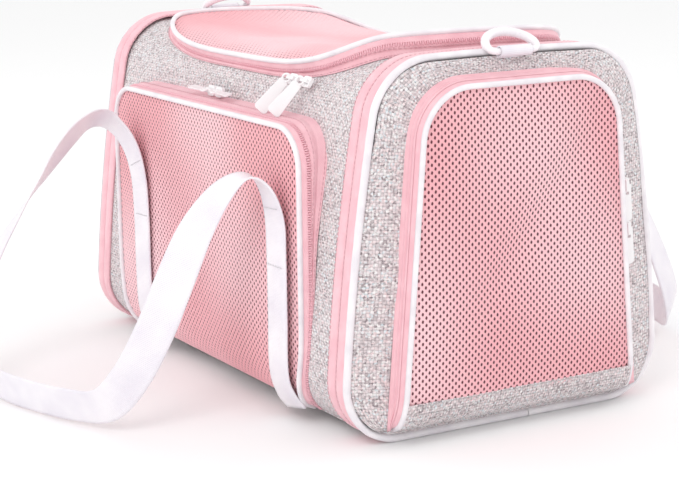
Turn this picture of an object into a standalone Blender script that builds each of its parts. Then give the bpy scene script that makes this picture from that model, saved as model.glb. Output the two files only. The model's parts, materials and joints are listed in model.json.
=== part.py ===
"""Soft-sided pet carrier bag: two sprung end hoops with a sewn fabric wrap between them, mesh doors on
the front, top and +X end that zip open, sewn mesh windows on the back and -X end, and two webbing handles.

The origin is the middle of the base on the ground, +X runs along the length, the front door faces -Y.
All named sizes are in millimetres; MM turns them into Blender's metres.
"""

import math

import bmesh
import bpy
import numpy as np
from mathutils import Vector

MM = 0.001

# Overall frame
FRAME_LENGTH = 431.8          # over the two end pipings, 17 in
HOOP_BASE_HALF = 133.7        # hoop centreline half-width where its sides would meet the ground line
HOOP_TOP_HALF = 102.0         # and where they would meet the top line
HOOP_HEIGHT = 260.0           # hoop centreline, bottom to top
HOOP_BASE_RADIUS = 38.0
HOOP_TOP_RADIUS = 40.0
HOOP_SIDE_BOW = 5.4
HOOP_TOP_BOW = 2.1

# Trim and fabric
PIPING_R = 2.9                # hoop piping
PIPING_WALL = 1.1
WIRE_R = 1.4
EDGE_R = 2.1                  # piping round doors and windows
FABRIC = 2.5                  # foam-backed wrap
MESH = 1.8
TAPE = 1.2
WEBBING = 1.6
BINDING_WIDTH = 22.0
GAP = 0.3                     # between touching pieces
SEAM_GAP = 1.2                # between the side panels and the top panel, across their slant
SWING = 1.0                   # between a door's gusset and the opening that it leaves

# Base
SEAM_Z = 9.5                  # where the side panels meet the base panel
SPLIT_DROP = 30.0             # from the hoop's top down to where the side panels meet the top panel
BOARD = 3.0
PAD = 15.0
PAD_INSET = 9.0

# Front door (and the back window, which has the same outline)
SIDE_MARGIN = 31.8            # from its edge to the hoop's binding
SIDE_TOP_MARGIN = 16.5        # from its top to the top panel
SIDE_RADIUS = 28.0
SIDE_TAPER = 13.0             # how far each side leans in over the lowest stretch
SIDE_KNEE = 75.0              # height where that lean starts
SIDE_PLANE = 134.0            # upright plane of the door's piping
FLOOR_KNEE = 40.0             # height where door panels turn under to their hinge
TAPE_WIDTH = 10.0
END_TAPE_WIDTH = 7.0
LEAST_GUSSET = 3.0            # a gusset's depth where the door meets the panel
TOP_TAPE_WIDTH = 4.0
TAPE_LIFT = 0.8               # top tape above the curved panel

# End door (and the far window)
END_HALF_BASE = 98.0
END_HALF_TOP = 80.0
END_TOP_MARGIN = 11.0         # from its top to the hoop's
END_RADIUS = 32.0
END_PROUD = 20.0              # piping plane beyond the hoop's plane
END_PANEL_BOW = 7.0           # how far the end panel swells at the door's edge
KICK_TOP = 29.0               # top of the fabric strip along the door's foot
KICK_GAP = 1.2

# Top door
LID_MARGIN = 7.8              # from its end to the hoop's binding
LID_SIDE_MARGIN = 18.05       # from its edge to the side panels, measured along the rounded top
LID_RADIUS = 55.0
LID_PROUD = 8.0

# Hinge line of the front and end doors
HINGE_Z = SEAM_Z + 2.0

# Zip sliders and pulls
SLIDER_LENGTH = 11.0
SLIDER_WIDTH = 8.0
SLIDER_BODY = 2.4
BRIDGE_LENGTH = 9.0
BRIDGE_WIDTH = 2.6
BRIDGE_WALL = 1.3
BRIDGE_GAP = 2.0
PULL_WIDTH = 8.0
PULL_LENGTH = 26.0
TOP_PULL_LENGTH = 29.0
TOP_PULL_SLANT = 35.0         # degrees that the top pulls lie off straight down
PULL_THICKNESS = 1.4
PULL_PIN_R = 0.7
EYE_IN = 1.6                  # eye of a hanging pull
EYE_OUT = 2.45
EYE_NECK = 5.2                # from the bar's middle to inside the tab
FRONT_MEET_X = -12.0          # where the front sliders meet
SLIDER_SPACE = 1.0            # each side of that point
TOP_SLIDER_INSET = 3.0        # from the end of the lid's straight front run
TOP_SLIDER_PITCH = 20.0
END_SLIDER_Z = 131.0
END_SLIDER_PITCH = 32.0

# D-rings
RING_HALF = 20.2
RING_REACH = 19.8
RING_R = 2.3
RING_CORNER = 4.0
RING_LEAN = 55.0              # degrees back from upright
RING_OUT = 8.2                # pivot beyond the hoop's plane
RING_UP = 0.8                 # pivot above the hoop's centreline
RING_LOOP_HALF = 13.0
RING_LOOP_TAIL = 6.0
RING_LOOP_WRAP = 285.0        # degrees that its tape loop goes round the bar

# Handles
STRAP_WIDTH = 28.0
HANDLE_SPACING = 14.0         # between the stations of its curve

HOOP_X = FRAME_LENGTH / 2 - PIPING_R
WRAP_X = HOOP_X - PIPING_R - GAP
SPLIT_Z = HOOP_HEIGHT - SPLIT_DROP
SIDE_HALF = WRAP_X - BINDING_WIDTH - SIDE_MARGIN
SIDE_TOP = SPLIT_Z - SIDE_TOP_MARGIN
END_TOP = HOOP_HEIGHT - END_TOP_MARGIN
LID_HALF_X = WRAP_X - BINDING_WIDTH - LID_MARGIN
TOP_SLIDER_X = LID_HALF_X - LID_RADIUS - TOP_SLIDER_INSET

# Colours: linear RGB
PINK = (0.93, 0.58, 0.63)
MESH_PINK = (0.93, 0.50, 0.56)
WHITE = (0.90, 0.89, 0.90)
GREY = (0.60, 0.57, 0.57)
PEARL = (0.86, 0.82, 0.88)
STEEL = (0.55, 0.55, 0.57)
FLEECE = (0.90, 0.86, 0.84)
BOARD_BLACK = (0.05, 0.05, 0.06)


def clear_scene():
    for obj in list(bpy.data.objects):
        bpy.data.objects.remove(obj, do_unlink=True)


def material(name, colour, roughness, metallic=0.0):
    found = bpy.data.materials.get(name)
    if found:
        return found
    made = bpy.data.materials.new(name)
    made.use_nodes = True
    shader = made.node_tree.nodes["Principled BSDF"]
    shader.inputs["Base Color"].default_value = (*colour, 1.0)
    shader.inputs["Roughness"].default_value = roughness
    shader.inputs["Metallic"].default_value = metallic
    made.diffuse_color = (*colour, 1.0)
    return made


def add_object(name, points, faces, look, origin=(0.0, 0.0, 0.0)):
    """A mesh object from points in millimetres, with its origin at the given point."""
    origin = np.array(origin, float)
    mesh = bpy.data.meshes.new(name)
    mesh.from_pydata([tuple((np.array(p) - origin) * MM) for p in points], [], faces)
    bm = bmesh.new()
    bm.from_mesh(mesh)
    bmesh.ops.recalc_face_normals(bm, faces=bm.faces)
    bm.to_mesh(mesh)
    bm.free()
    mesh.shade_smooth()
    mesh.set_sharp_from_angle(angle=math.radians(40))
    obj = bpy.data.objects.new(name, mesh)
    obj.location = Vector(origin) * MM
    obj.data.materials.append(material(*look))
    bpy.context.scene.collection.objects.link(obj)
    return obj


# Hoop outline -----------------------------------------------------------------------------------------

def rounded_polygon(corners, steps):
    """Points round a polygon whose corners are (u, v, radius), in the order given."""
    points = []
    count = len(corners)
    for i, (u, v, radius) in enumerate(corners):
        here = np.array([u, v])
        back = np.array(corners[i - 1][:2]) - here
        on = np.array(corners[(i + 1) % count][:2]) - here
        back = back / np.linalg.norm(back)
        on = on / np.linalg.norm(on)
        half = math.acos(float(np.clip(back @ on, -1, 1))) / 2
        bisector = (back + on) / np.linalg.norm(back + on)
        centre = here + bisector * radius / math.sin(half)
        first = here + back * radius / math.tan(half) - centre
        last = here + on * radius / math.tan(half) - centre
        start = math.atan2(first[1], first[0])
        turn = math.atan2(last[1], last[0]) - start
        turn = (turn + math.pi) % (2 * math.pi) - math.pi
        for k in range(steps + 1):
            angle = start + turn * k / steps
            points.append(centre + radius * np.array([math.cos(angle), math.sin(angle)]))
    return np.array(points)


def resample(points, spacing, closed=True):
    """Split the long edges of an outline into stretches no longer than spacing."""
    result = []
    count = len(points)
    for i in range(count if closed else count - 1):
        a = points[i]
        b = points[(i + 1) % count]
        pieces = max(1, math.ceil(np.linalg.norm(b - a) / spacing))
        for k in range(pieces):
            result.append(a + (b - a) * k / pieces)
    if not closed:
        result.append(points[-1])
    return np.array(result)


def hoop_outline(offset=0.0, steps=6, spacing=30.0):
    """The hoop in the (y, z) plane, moved outwards by offset; it runs front, top, back, bottom."""
    corners = [
        (-HOOP_BASE_HALF, 0.0, HOOP_BASE_RADIUS),
        (-HOOP_TOP_HALF, HOOP_HEIGHT, HOOP_TOP_RADIUS),
        (HOOP_TOP_HALF, HOOP_HEIGHT, HOOP_TOP_RADIUS),
        (HOOP_BASE_HALF, 0.0, HOOP_BASE_RADIUS),
    ]
    points = resample(rounded_polygon(corners, steps), spacing)
    share = np.clip(points[:, 1] / HOOP_HEIGHT, 0, 1)
    points[:, 0] += np.sign(points[:, 0]) * HOOP_SIDE_BOW * 4 * share * (1 - share)
    lift = np.clip(2 * share - 1, 0, 1) ** 2 * np.clip(1 - (points[:, 0] / HOOP_TOP_HALF) ** 2, 0, 1)
    points[:, 1] += HOOP_TOP_BOW * lift + PIPING_R
    along = np.roll(points, -1, axis=0) - np.roll(points, 1, axis=0)
    along /= np.linalg.norm(along, axis=1)[:, None]
    normals = np.column_stack([-along[:, 1], along[:, 0]])
    return points + normals * offset


FINE = hoop_outline(0.0, 40, 1.5)


def fine_outline(offset):
    return hoop_outline(offset, 40, 1.5)


def side_y(z, offset=0.0):
    """Half-width of the wrap at height z, on the outline moved outwards by offset."""
    line = fine_outline(offset)
    front = line[(line[:, 0] < 0) & (line[:, 1] < HOOP_HEIGHT - 2)]
    order = np.argsort(front[:, 1])
    return float(np.interp(z, front[order, 1], -front[order, 0]))


def top_point(s, offset=0.0):
    """(y, z) at arc length s from the top's middle, positive towards the back, moved outwards."""
    middle = int(np.argmax(FINE[:, 1] - np.abs(FINE[:, 0]) * 0.01))
    line = np.roll(FINE, -middle, axis=0)
    gap = np.linalg.norm(np.diff(line, axis=0), axis=1)
    lengths = np.concatenate([[0], np.cumsum(gap)])
    s_abs = abs(s)
    y = np.interp(s_abs, lengths, line[:, 0])
    z = np.interp(s_abs, lengths, line[:, 1])
    step = 1.0
    ahead = np.array([np.interp(s_abs + step, lengths, line[:, 0]), np.interp(s_abs + step, lengths, line[:, 1])])
    behind_s = s_abs - step
    behind = np.array([np.interp(abs(behind_s), lengths, line[:, 0]), np.interp(abs(behind_s), lengths, line[:, 1])])
    if behind_s < 0:
        behind[0] = -behind[0]
    along = ahead - behind
    along /= np.linalg.norm(along)
    y += -along[1] * offset
    z += along[0] * offset
    return (math.copysign(y, s) if s else 0.0, float(z))


def top_s(z):
    """Arc length from the top's middle to the wrap at height z."""
    low, high = 0.0, 200.0
    for _ in range(40):
        mid = (low + high) / 2
        if top_point(mid)[1] > z:
            low = mid
        else:
            high = mid
    return low


LID_HALF_S = top_s(SPLIT_Z) - LID_SIDE_MARGIN   # half-width measured along the rounded top


# Solids from grids and paths --------------------------------------------------------------------------

def grid_faces(rows, columns, base, closed, flip):
    faces = []
    for i in range(rows - 1):
        for j in range(columns if closed else columns - 1):
            k = (j + 1) % columns
            face = [base + i * columns + j, base + i * columns + k,
                    base + (i + 1) * columns + k, base + (i + 1) * columns + j]
            faces.append(face[::-1] if flip else face)
    return faces


def sheet(name, grid, thickness, look, closed=False, origin=(0, 0, 0)):
    """A sheet of even thickness about a grid of points; closed joins each row's ends."""
    grid = np.array(grid, float)
    rows, columns, _ = grid.shape
    if closed:
        across = np.roll(grid, -1, axis=1) - np.roll(grid, 1, axis=1)
    else:
        across = np.gradient(grid, axis=1)
    down = np.gradient(grid, axis=0)
    normal = np.cross(across, down)
    normal /= np.linalg.norm(normal, axis=2)[:, :, None]
    sides = [grid + normal * thickness / 2, grid - normal * thickness / 2]
    points = np.concatenate([side.reshape(-1, 3) for side in sides])
    count = rows * columns
    faces = grid_faces(rows, columns, 0, closed, False) + grid_faces(rows, columns, count, closed, True)
    for row in (0, rows - 1):
        for j in range(columns if closed else columns - 1):
            a = row * columns + j
            b = row * columns + (j + 1) % columns
            faces.append([a, b, b + count, a + count])
    if not closed:
        for column in (0, columns - 1):
            for i in range(rows - 1):
                a = i * columns + column
                b = a + columns
                faces.append([a, b, b + count, a + count])
    return add_object(name, points, faces, look, origin)


def ring_section(radius, count, start=0.0, turn=2 * math.pi, ends=False):
    last = count - 1 if ends else count
    return [(radius * math.cos(start + turn * k / last), radius * math.sin(start + turn * k / last))
            for k in range(count)]


def sweep(name, path, section, look, closed=False, side=(1, 0, 0), origin=(0, 0, 0)):
    """Carry a section (a, b) along a path; b points along side, a along side x direction of travel.

    side is one vector for the whole path, or one for each of its points.
    """
    path = np.array(path, float)
    count = len(path)
    if closed:
        along = np.roll(path, -1, axis=0) - np.roll(path, 1, axis=0)
    else:
        along = np.gradient(path, axis=0)
    along /= np.linalg.norm(along, axis=1)[:, None]
    side = np.broadcast_to(np.array(side, float), path.shape)
    second = side - (side * along).sum(axis=1)[:, None] * along
    second /= np.linalg.norm(second, axis=1)[:, None]
    first = np.cross(second, along)
    points = []
    for i in range(count):
        for a, b in section:
            points.append(path[i] + first[i] * a + second[i] * b)
    size = len(section)
    faces = grid_faces(count, size, 0, True, False)
    if closed:
        last = (count - 1) * size
        for j in range(size):
            k = (j + 1) % size
            faces.append([last + j, last + k, k, j])
    else:
        faces.append(list(range(size)))
        faces.append([(count - 1) * size + j for j in reversed(range(size))])
    return add_object(name, points, faces, look, origin)


def prism(name, outline, low, high, axes, look, origin=(0, 0, 0), hide=False):
    """Extrude an outline of (u, v) from low to high along w; axes maps (u, v, w) to world points."""
    count = len(outline)
    points = [axes(u, v, w) for w in (low, high) for u, v in outline]
    faces = [list(range(count)), [count + j for j in reversed(range(count))]]
    for j in range(count):
        k = (j + 1) % count
        faces.append([j, k, k + count, j + count])
    obj = add_object(name, points, faces, look, origin)
    if hide:
        obj.hide_render = True
        obj.display_type = "WIRE"
    return obj


def boolean(obj, other, operation):
    """Apply a Boolean with another object, which is then removed."""
    modifier = obj.modifiers.new("boolean", "BOOLEAN")
    modifier.operation = operation
    modifier.solver = "EXACT"
    modifier.object = other
    bpy.context.view_layer.update()
    depsgraph = bpy.context.evaluated_depsgraph_get()
    mesh = bpy.data.meshes.new_from_object(obj.evaluated_get(depsgraph))
    obj.modifiers.clear()
    obj.data = mesh
    bpy.data.objects.remove(other, do_unlink=True)
    return obj


def cast(point, direction, polygon):
    """Where a ray from a point inside a closed polygon first meets it."""
    best = None
    count = len(polygon)
    for i in range(count):
        a = polygon[i]
        edge = polygon[(i + 1) % count] - a
        det = direction[0] * -edge[1] + direction[1] * edge[0]
        if abs(det) < 1e-12:
            continue
        rel = a - point
        t = (rel[0] * -edge[1] + rel[1] * edge[0]) / det
        u = (direction[0] * rel[1] - direction[1] * rel[0]) / det
        if t > 0 and -1e-9 <= u <= 1 + 1e-9 and (best is None or t < best):
            best = t
    return point + direction * best


# Door outlines ----------------------------------------------------------------------------------------

def arch(half_low, half_high, foot, top, radius, steps=6, rungs=5, offset=0.0):
    """An open outline up one side, over the top and down the other, as (u, v) with outward normals."""
    height = top - foot
    lean = math.atan2(half_low - half_high, height)
    normal = np.array([-math.cos(lean), math.sin(lean)])
    start = np.array([-half_low, foot])
    drop = radius * math.tan((math.pi / 2 - lean) / 2)
    shoulder = np.array([-half_high, top]) - drop * np.array([math.sin(lean), math.cos(lean)])
    left = [(start + (shoulder - start) * k / rungs, normal) for k in range(rungs)]
    centre = shoulder - normal * radius
    begin = math.atan2(normal[1], normal[0])
    for k in range(steps + 1):
        angle = begin + (math.pi / 2 - begin) * k / steps
        out = np.array([math.cos(angle), math.sin(angle)])
        left.append((centre + out * radius, out))
    flat_steps = 3
    edge_x = left[-1][0][0]
    for k in range(1, flat_steps):
        left.append((np.array([edge_x * (1 - k / flat_steps), top]), np.array([0.0, 1.0])))
    middle = [(np.array([0.0, top]), np.array([0.0, 1.0]))]
    right = [(p * np.array([-1, 1]), n * np.array([-1, 1])) for p, n in reversed(left)]
    return [(p + n * offset, n) for p, n in left + middle + right]


def side_arch(offset=0.0):
    """Front door outline in (x, z): upright above the knee, leaning in below it."""
    points = []
    for p, n in arch(SIDE_HALF, SIDE_HALF, HINGE_Z, SIDE_TOP, SIDE_RADIUS, rungs=7, offset=offset):
        share = np.clip((SIDE_KNEE - p[1]) / (SIDE_KNEE - HINGE_Z), 0, 1)
        shift = SIDE_TAPER * share ** 2
        points.append((np.array([p[0] - math.copysign(shift, p[0]), p[1]]), n))
    return points


def end_arch(offset=0.0):
    """End door outline in (y, z)."""
    return arch(END_HALF_BASE, END_HALF_TOP, HINGE_Z, END_TOP, END_RADIUS, rungs=6, offset=offset)


def lid_ring(offset=0.0, steps=6):
    """Lid outline in (x, s): a closed rounded rectangle that starts at the back's middle."""
    points = []
    centre_x = LID_HALF_X - LID_RADIUS
    centre_s = LID_HALF_S - LID_RADIUS
    radius = LID_RADIUS + offset
    for corner, (sx, ss) in enumerate([(-1, 1), (-1, -1), (1, -1), (1, 1)]):
        start = math.pi / 2 * (1 + corner)
        for k in range(steps + 1):
            angle = start + math.pi / 2 * k / steps
            out = np.array([math.cos(angle), math.sin(angle)])
            points.append((np.array([sx * centre_x, ss * centre_s]) + out * radius, out))
    return points


def knee_depth(z, plane, hinge, knee_z):
    """Depth of a door's sheet at height z: plane above the knee, turning under to the hinge below."""
    if z >= knee_z:
        return plane
    share = (knee_z - z) / (knee_z - HINGE_Z)
    return plane - (plane - hinge) * (1 - math.sqrt(max(0.0, 1 - share ** 2)))


SIDE_HINGE = side_y(HINGE_Z) + 1.5
END_HINGE = HOOP_X + PIPING_R + 3.0
END_PLANE = HOOP_X + END_PROUD


def side_depth(z):
    return knee_depth(z, SIDE_PLANE, SIDE_HINGE, FLOOR_KNEE)


def end_depth(z):
    return knee_depth(z, END_PLANE, END_HINGE, FLOOR_KNEE)


# Structure --------------------------------------------------------------------------------------------

def make_hoops():
    """Spring wire hoops inside split piping, with a folded binding tape beside each."""
    path = hoop_outline(0.0, 6, 30.0)
    tape_path = hoop_outline(GAP + TAPE / 2, 6, 30.0)
    slit = math.radians(28)
    outer = ring_section(PIPING_R, 11, slit, 2 * math.pi - 2 * slit, ends=True)
    inner = ring_section(PIPING_R - PIPING_WALL, 11, slit, 2 * math.pi - 2 * slit, ends=True)
    channel = outer + inner[::-1]
    half = BINDING_WIDTH / 2
    flat = [(-TAPE / 2, -half), (TAPE / 2, -half), (TAPE / 2, half), (-TAPE / 2, half)]
    for end, sign in (("near", 1), ("far", -1)):
        x = sign * HOOP_X
        loop = [(x, y, z) for y, z in path]
        section = [(-a, sign * -b) for a, b in channel]
        sweep(f"hoop_piping_{end}", loop, section, ("white_piping", WHITE, 0.45), closed=True)
        sweep(f"hoop_wire_{end}", loop, ring_section(WIRE_R, 6), ("spring_steel", STEEL, 0.35, 1.0), closed=True)
        x_tape = sign * (WRAP_X - half)
        tape_loop = [(x_tape, y, z) for y, z in tape_path]
        sweep(f"hoop_binding_{end}", tape_loop, flat, ("pink_tape", PINK, 0.6), closed=True)


def make_base():
    """Base panel, a tray whose edges turn up to the side seams, with its board and bed pad."""
    half = WRAP_X - BINDING_WIDTH - GAP
    flat_half = HOOP_BASE_HALF - HOOP_BASE_RADIUS
    seam_y = side_y(SEAM_Z, -FABRIC / 2)
    outline = []
    for k in range(5):
        share = k / 4
        outline.append((seam_y - (seam_y - flat_half) * share, SEAM_Z - GAP - (SEAM_Z - GAP) * share ** 0.5))
    top = [(y - FABRIC * 0.6, z + FABRIC) for y, z in outline[1:]][::-1]
    inner = [(y, max(z, FABRIC)) for y, z in top] + [(seam_y - FABRIC, SEAM_Z - GAP)]
    mirrored_outline = [(-y, z) for y, z in outline[::-1]]
    mirrored_inner = [(-y, z) for y, z in inner[::-1]]
    section = outline + mirrored_outline + mirrored_inner + inner
    prism("base_panel", section, -half, half, lambda u, v, w: (w, u, v), ("glitter_fabric", GREY, 0.6))

    board_half = flat_half + 2.0
    board_x = WRAP_X - 4.0
    low = FABRIC + GAP + PIPING_R
    board = [(-board_x, -board_half, 8.0), (board_x, -board_half, 8.0),
             (board_x, board_half, 8.0), (-board_x, board_half, 8.0)]
    prism("base_board", rounded_polygon(board, 4), low, low + BOARD, lambda u, v, w: (u, v, w),
          ("board", BOARD_BLACK, 0.5))
    pad_low = low + BOARD + GAP
    pad = [(-board_x + 2, -board_half - PAD_INSET, 14.0), (board_x - 2, -board_half - PAD_INSET, 14.0),
           (board_x - 2, board_half + PAD_INSET, 14.0), (-board_x + 2, board_half + PAD_INSET, 14.0)]
    prism("bed_pad", rounded_polygon(pad, 5), pad_low, pad_low + PAD, lambda u, v, w: (u, v, w),
          ("fleece", FLEECE, 0.9))


def side_panel_grid(sign):
    """An arch-shaped panel round the front or back opening, between the seam and the top panel."""
    frame = np.array([(-WRAP_X, SEAM_Z), (WRAP_X, SEAM_Z), (WRAP_X, SPLIT_Z), (-WRAP_X, SPLIT_Z)])
    rows = 4
    grid = [[] for _ in range(rows)]
    for p, n in side_arch(EDGE_R + SWING):
        outer = cast(p, n, frame)
        for row in range(rows):
            q = p + (outer - p) * row / (rows - 1)
            z = float(q[1])
            grid[row].append((q[0], sign * side_y(z, -FABRIC / 2), z))
    return grid


def make_wrap():
    look = ("glitter_fabric", GREY, 0.6)
    sheet("front_panel", side_panel_grid(-1), FABRIC, look)
    sheet("back_panel", side_panel_grid(1), FABRIC, look)
    edge_s = top_s(SPLIT_Z + SEAM_GAP)
    frame = np.array([(-WRAP_X, -edge_s), (WRAP_X, -edge_s), (WRAP_X, edge_s), (-WRAP_X, edge_s)])
    rows = 4
    grid = [[] for _ in range(rows)]
    for p, n in lid_ring(EDGE_R + SWING):
        outer = cast(p, n, frame)
        for row in range(rows):
            q = p + (outer - p) * row / (rows - 1)
            y, z = top_point(q[1], -FABRIC / 2)
            grid[row].append((q[0], y, z))
    sheet("top_panel", grid, FABRIC, look, closed=True)


def end_panel(name, sign):
    """An arch-shaped end panel inside the hoop, which swells out towards the opening's edge."""
    hoop = hoop_outline(-PIPING_R - GAP, 12, 8.0)
    rows = 3
    grid = [[] for _ in range(rows)]
    for p, n in end_arch(EDGE_R + SWING):
        outer = cast(p, n, hoop)
        for row in range(rows):
            share = row / (rows - 1)
            q = p + (outer - p) * share
            swell = END_PANEL_BOW * (1 - share)
            grid[row].append((sign * (HOOP_X + swell), q[0], q[1]))
    sheet(name, grid, FABRIC, ("glitter_fabric", GREY, 0.6))


# Doors ------------------------------------------------------------------------------------------------

def arch_rows(outline, foot, count):
    """Mirror-symmetric rows across an arch from foot upwards, as (half-width, height)."""
    left = [p for p, _ in outline if p[0] <= 0]
    us = [-p[0] for p in left]
    vs = [p[1] for p in left]
    top = max(vs)
    rows = []
    for k in range(count):
        share = k / (count - 1)
        v = foot + (top - foot) * math.sin(share * math.pi / 2)
        rows.append((float(np.interp(v, vs[:len(vs) - 3], us[:len(us) - 3])), v))
    return rows


def door_sheet(name, outline, foot, place, thickness, look, origin=(0, 0, 0), top=None, count=8):
    rows = arch_rows(outline, foot, count)
    if top is not None:
        rows = [(half, v) for half, v in arch_rows(outline, foot, 30) if v <= top][::4]
        rows.append((rows[-1][0], top))
    columns = 7
    grid = []
    for half, v in rows:
        grid.append([place(half * (2 * j / (columns - 1) - 1), v) for j in range(columns)])
    return sheet(name, grid, thickness, look, origin=origin)


def arch_piping(name, outline, place, side, look, origin=(0, 0, 0)):
    path = [place(*p) for p, _ in outline]
    return sweep(name, path, ring_section(EDGE_R, 6), look, side=side, origin=origin)


def wall(name, outline, inner_edge, outer_edge, look, origin=(0, 0, 0)):
    """A gusset that stands from the panel to just under the door's piping."""
    grid = [[inner_edge(*p) for p, _ in outline], [outer_edge(*p) for p, _ in outline]]
    return sheet(name, grid, TAPE, look, origin=origin)


def flat_tape(name, inner, outer, place, look, closed=False):
    grid = [[place(*p) for p, _ in inner], [place(*p) for p, _ in outer]]
    return sheet(name, grid, TAPE, look, closed=closed)


WHITE_LOOK = ("white_piping", WHITE, 0.45)
PINK_LOOK = ("pink_tape", PINK, 0.6)
MESH_LOOK = ("pink_mesh", MESH_PINK, 0.7)
WEBBING_LOOK = ("pearl_webbing", PEARL, 0.45)


def make_front_door():
    hinge = (0.0, -SIDE_HINGE, HINGE_Z)
    inset = EDGE_R + GAP
    sheet_outline = side_arch(-inset)
    door_sheet("front_door_mesh", sheet_outline, HINGE_Z + 1.0, lambda u, v: (u, -side_depth(v), v), MESH,
               MESH_LOOK, hinge)
    arch_piping("front_door_piping", side_arch(), lambda u, v: (u, -side_depth(v), v), (0, 1, 0),
                WHITE_LOOK, hinge)

    def inner_edge(u, v):
        surface = side_y(v, -FABRIC)
        return (u, -min(surface, side_depth(v) - inset - LEAST_GUSSET), v)

    wall("front_door_gusset", side_arch(), inner_edge, lambda u, v: (u, -(side_depth(v) - inset), v),
         PINK_LOOK, hinge)
    lift = GAP + TAPE / 2
    first = side_arch(EDGE_R + SWING)
    second = side_arch(EDGE_R + SWING + TAPE_WIDTH)
    flat_tape("front_zip_tape", first, second, lambda u, v: (u, -side_y(v, lift), v), PINK_LOOK)


def make_end_door():
    hinge = (END_HINGE, 0.0, HINGE_Z)
    inset = EDGE_R + GAP
    outline = end_arch(-inset)

    def place(u, v):
        return (end_depth(v), u, v)

    door_sheet("end_door_mesh", outline, KICK_TOP + KICK_GAP / 2, place, MESH, MESH_LOOK, hinge)
    door_sheet("end_door_kick_strip", outline, HINGE_Z + 1.0, place, MESH, ("glitter_fabric", GREY, 0.6), hinge,
               top=KICK_TOP - KICK_GAP / 2)
    arch_piping("end_door_piping", end_arch(), place, (1, 0, 0), WHITE_LOOK, hinge)
    panel = HOOP_X + END_PANEL_BOW - FABRIC

    def inner_edge(u, v):
        return (min(panel, end_depth(v) - inset - LEAST_GUSSET), u, v)

    wall("end_door_gusset", end_arch(), inner_edge, lambda u, v: (end_depth(v) - inset, u, v), PINK_LOOK, hinge)
    lift = FABRIC / 2 + GAP + TAPE / 2
    first = end_arch(EDGE_R + SWING)
    second = end_arch(EDGE_R + SWING + END_TAPE_WIDTH)
    grid = []
    for ring, swell in ((first, END_PANEL_BOW), (second, END_PANEL_BOW * 0.9)):
        grid.append([(HOOP_X + swell + lift, *p) for p, _ in ring])
    sheet("end_zip_tape", grid, TAPE, PINK_LOOK)


def make_windows():
    """Sewn mesh windows: the back one lies on the wrap's line and the far one on its end panel's."""
    inset = EDGE_R + GAP

    def back(u, v):
        return (u, side_y(v, 0.5), v)

    def far(u, v):
        return (-(HOOP_X + END_PANEL_BOW * 0.8), u, v)

    door_sheet("back_window_mesh", side_arch(-inset), HINGE_Z, back, MESH, MESH_LOOK)
    arch_piping("back_window_piping", side_arch(), back, (0, 1, 0), WHITE_LOOK)
    door_sheet("far_window_mesh", end_arch(-inset), HINGE_Z, far, MESH, MESH_LOOK)
    arch_piping("far_window_piping", end_arch(), far, (1, 0, 0), WHITE_LOOK)


def lid_point(x, s, offset):
    y, z = top_point(s, offset)
    return (x, y, z)


LID_AXIS = top_point(LID_HALF_S, LID_PROUD)


def make_top_door():
    hinge = (0.0, *LID_AXIS)
    inset = EDGE_R + GAP
    rows = 9
    grid = []
    for i in range(rows):
        s = (LID_HALF_S - inset) * math.sin((2 * i / (rows - 1) - 1) * math.pi / 2)
        over = max(0.0, abs(s) - (LID_HALF_S - LID_RADIUS))
        radius = LID_RADIUS - inset
        half = LID_HALF_X - LID_RADIUS + math.sqrt(max(0.0, radius ** 2 - over ** 2))
        grid.append([lid_point(half * (2 * j / 6 - 1), s, LID_PROUD) for j in range(7)])
    sheet("top_door_mesh", grid, MESH, MESH_LOOK, origin=hinge)
    ring = lid_ring()
    path = [lid_point(*p, LID_PROUD) for p, _ in ring]
    sweep("top_door_piping", path, ring_section(EDGE_R, 6), WHITE_LOOK, closed=True, side=(0, 0, 1), origin=hinge)
    front = ring[2:len(ring) - 2]
    wall("top_door_gusset", front, lambda u, v: lid_point(u, v, -FABRIC),
         lambda u, v: lid_point(u, v, LID_PROUD - inset), PINK_LOOK, hinge)
    lift = TAPE_LIFT + TAPE / 2
    first = lid_ring(EDGE_R + SWING)
    second = lid_ring(EDGE_R + SWING + TOP_TAPE_WIDTH)
    flat_tape("top_zip_tape", first, second, lambda u, v: lid_point(u, v, lift), PINK_LOOK, closed=True)


# Zip sliders ------------------------------------------------------------------------------------------

def frame_axes(origin, along, out):
    """Map (a, b, c) to along, across and out of a zip at a point."""
    along = np.array(along, float) / np.linalg.norm(along)
    out = np.array(out, float)
    out -= (out @ along) * along
    out /= np.linalg.norm(out)
    across = np.cross(out, along)
    origin = np.array(origin, float)
    return lambda a, b, c: tuple(origin + along * a + across * b + out * c)


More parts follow.
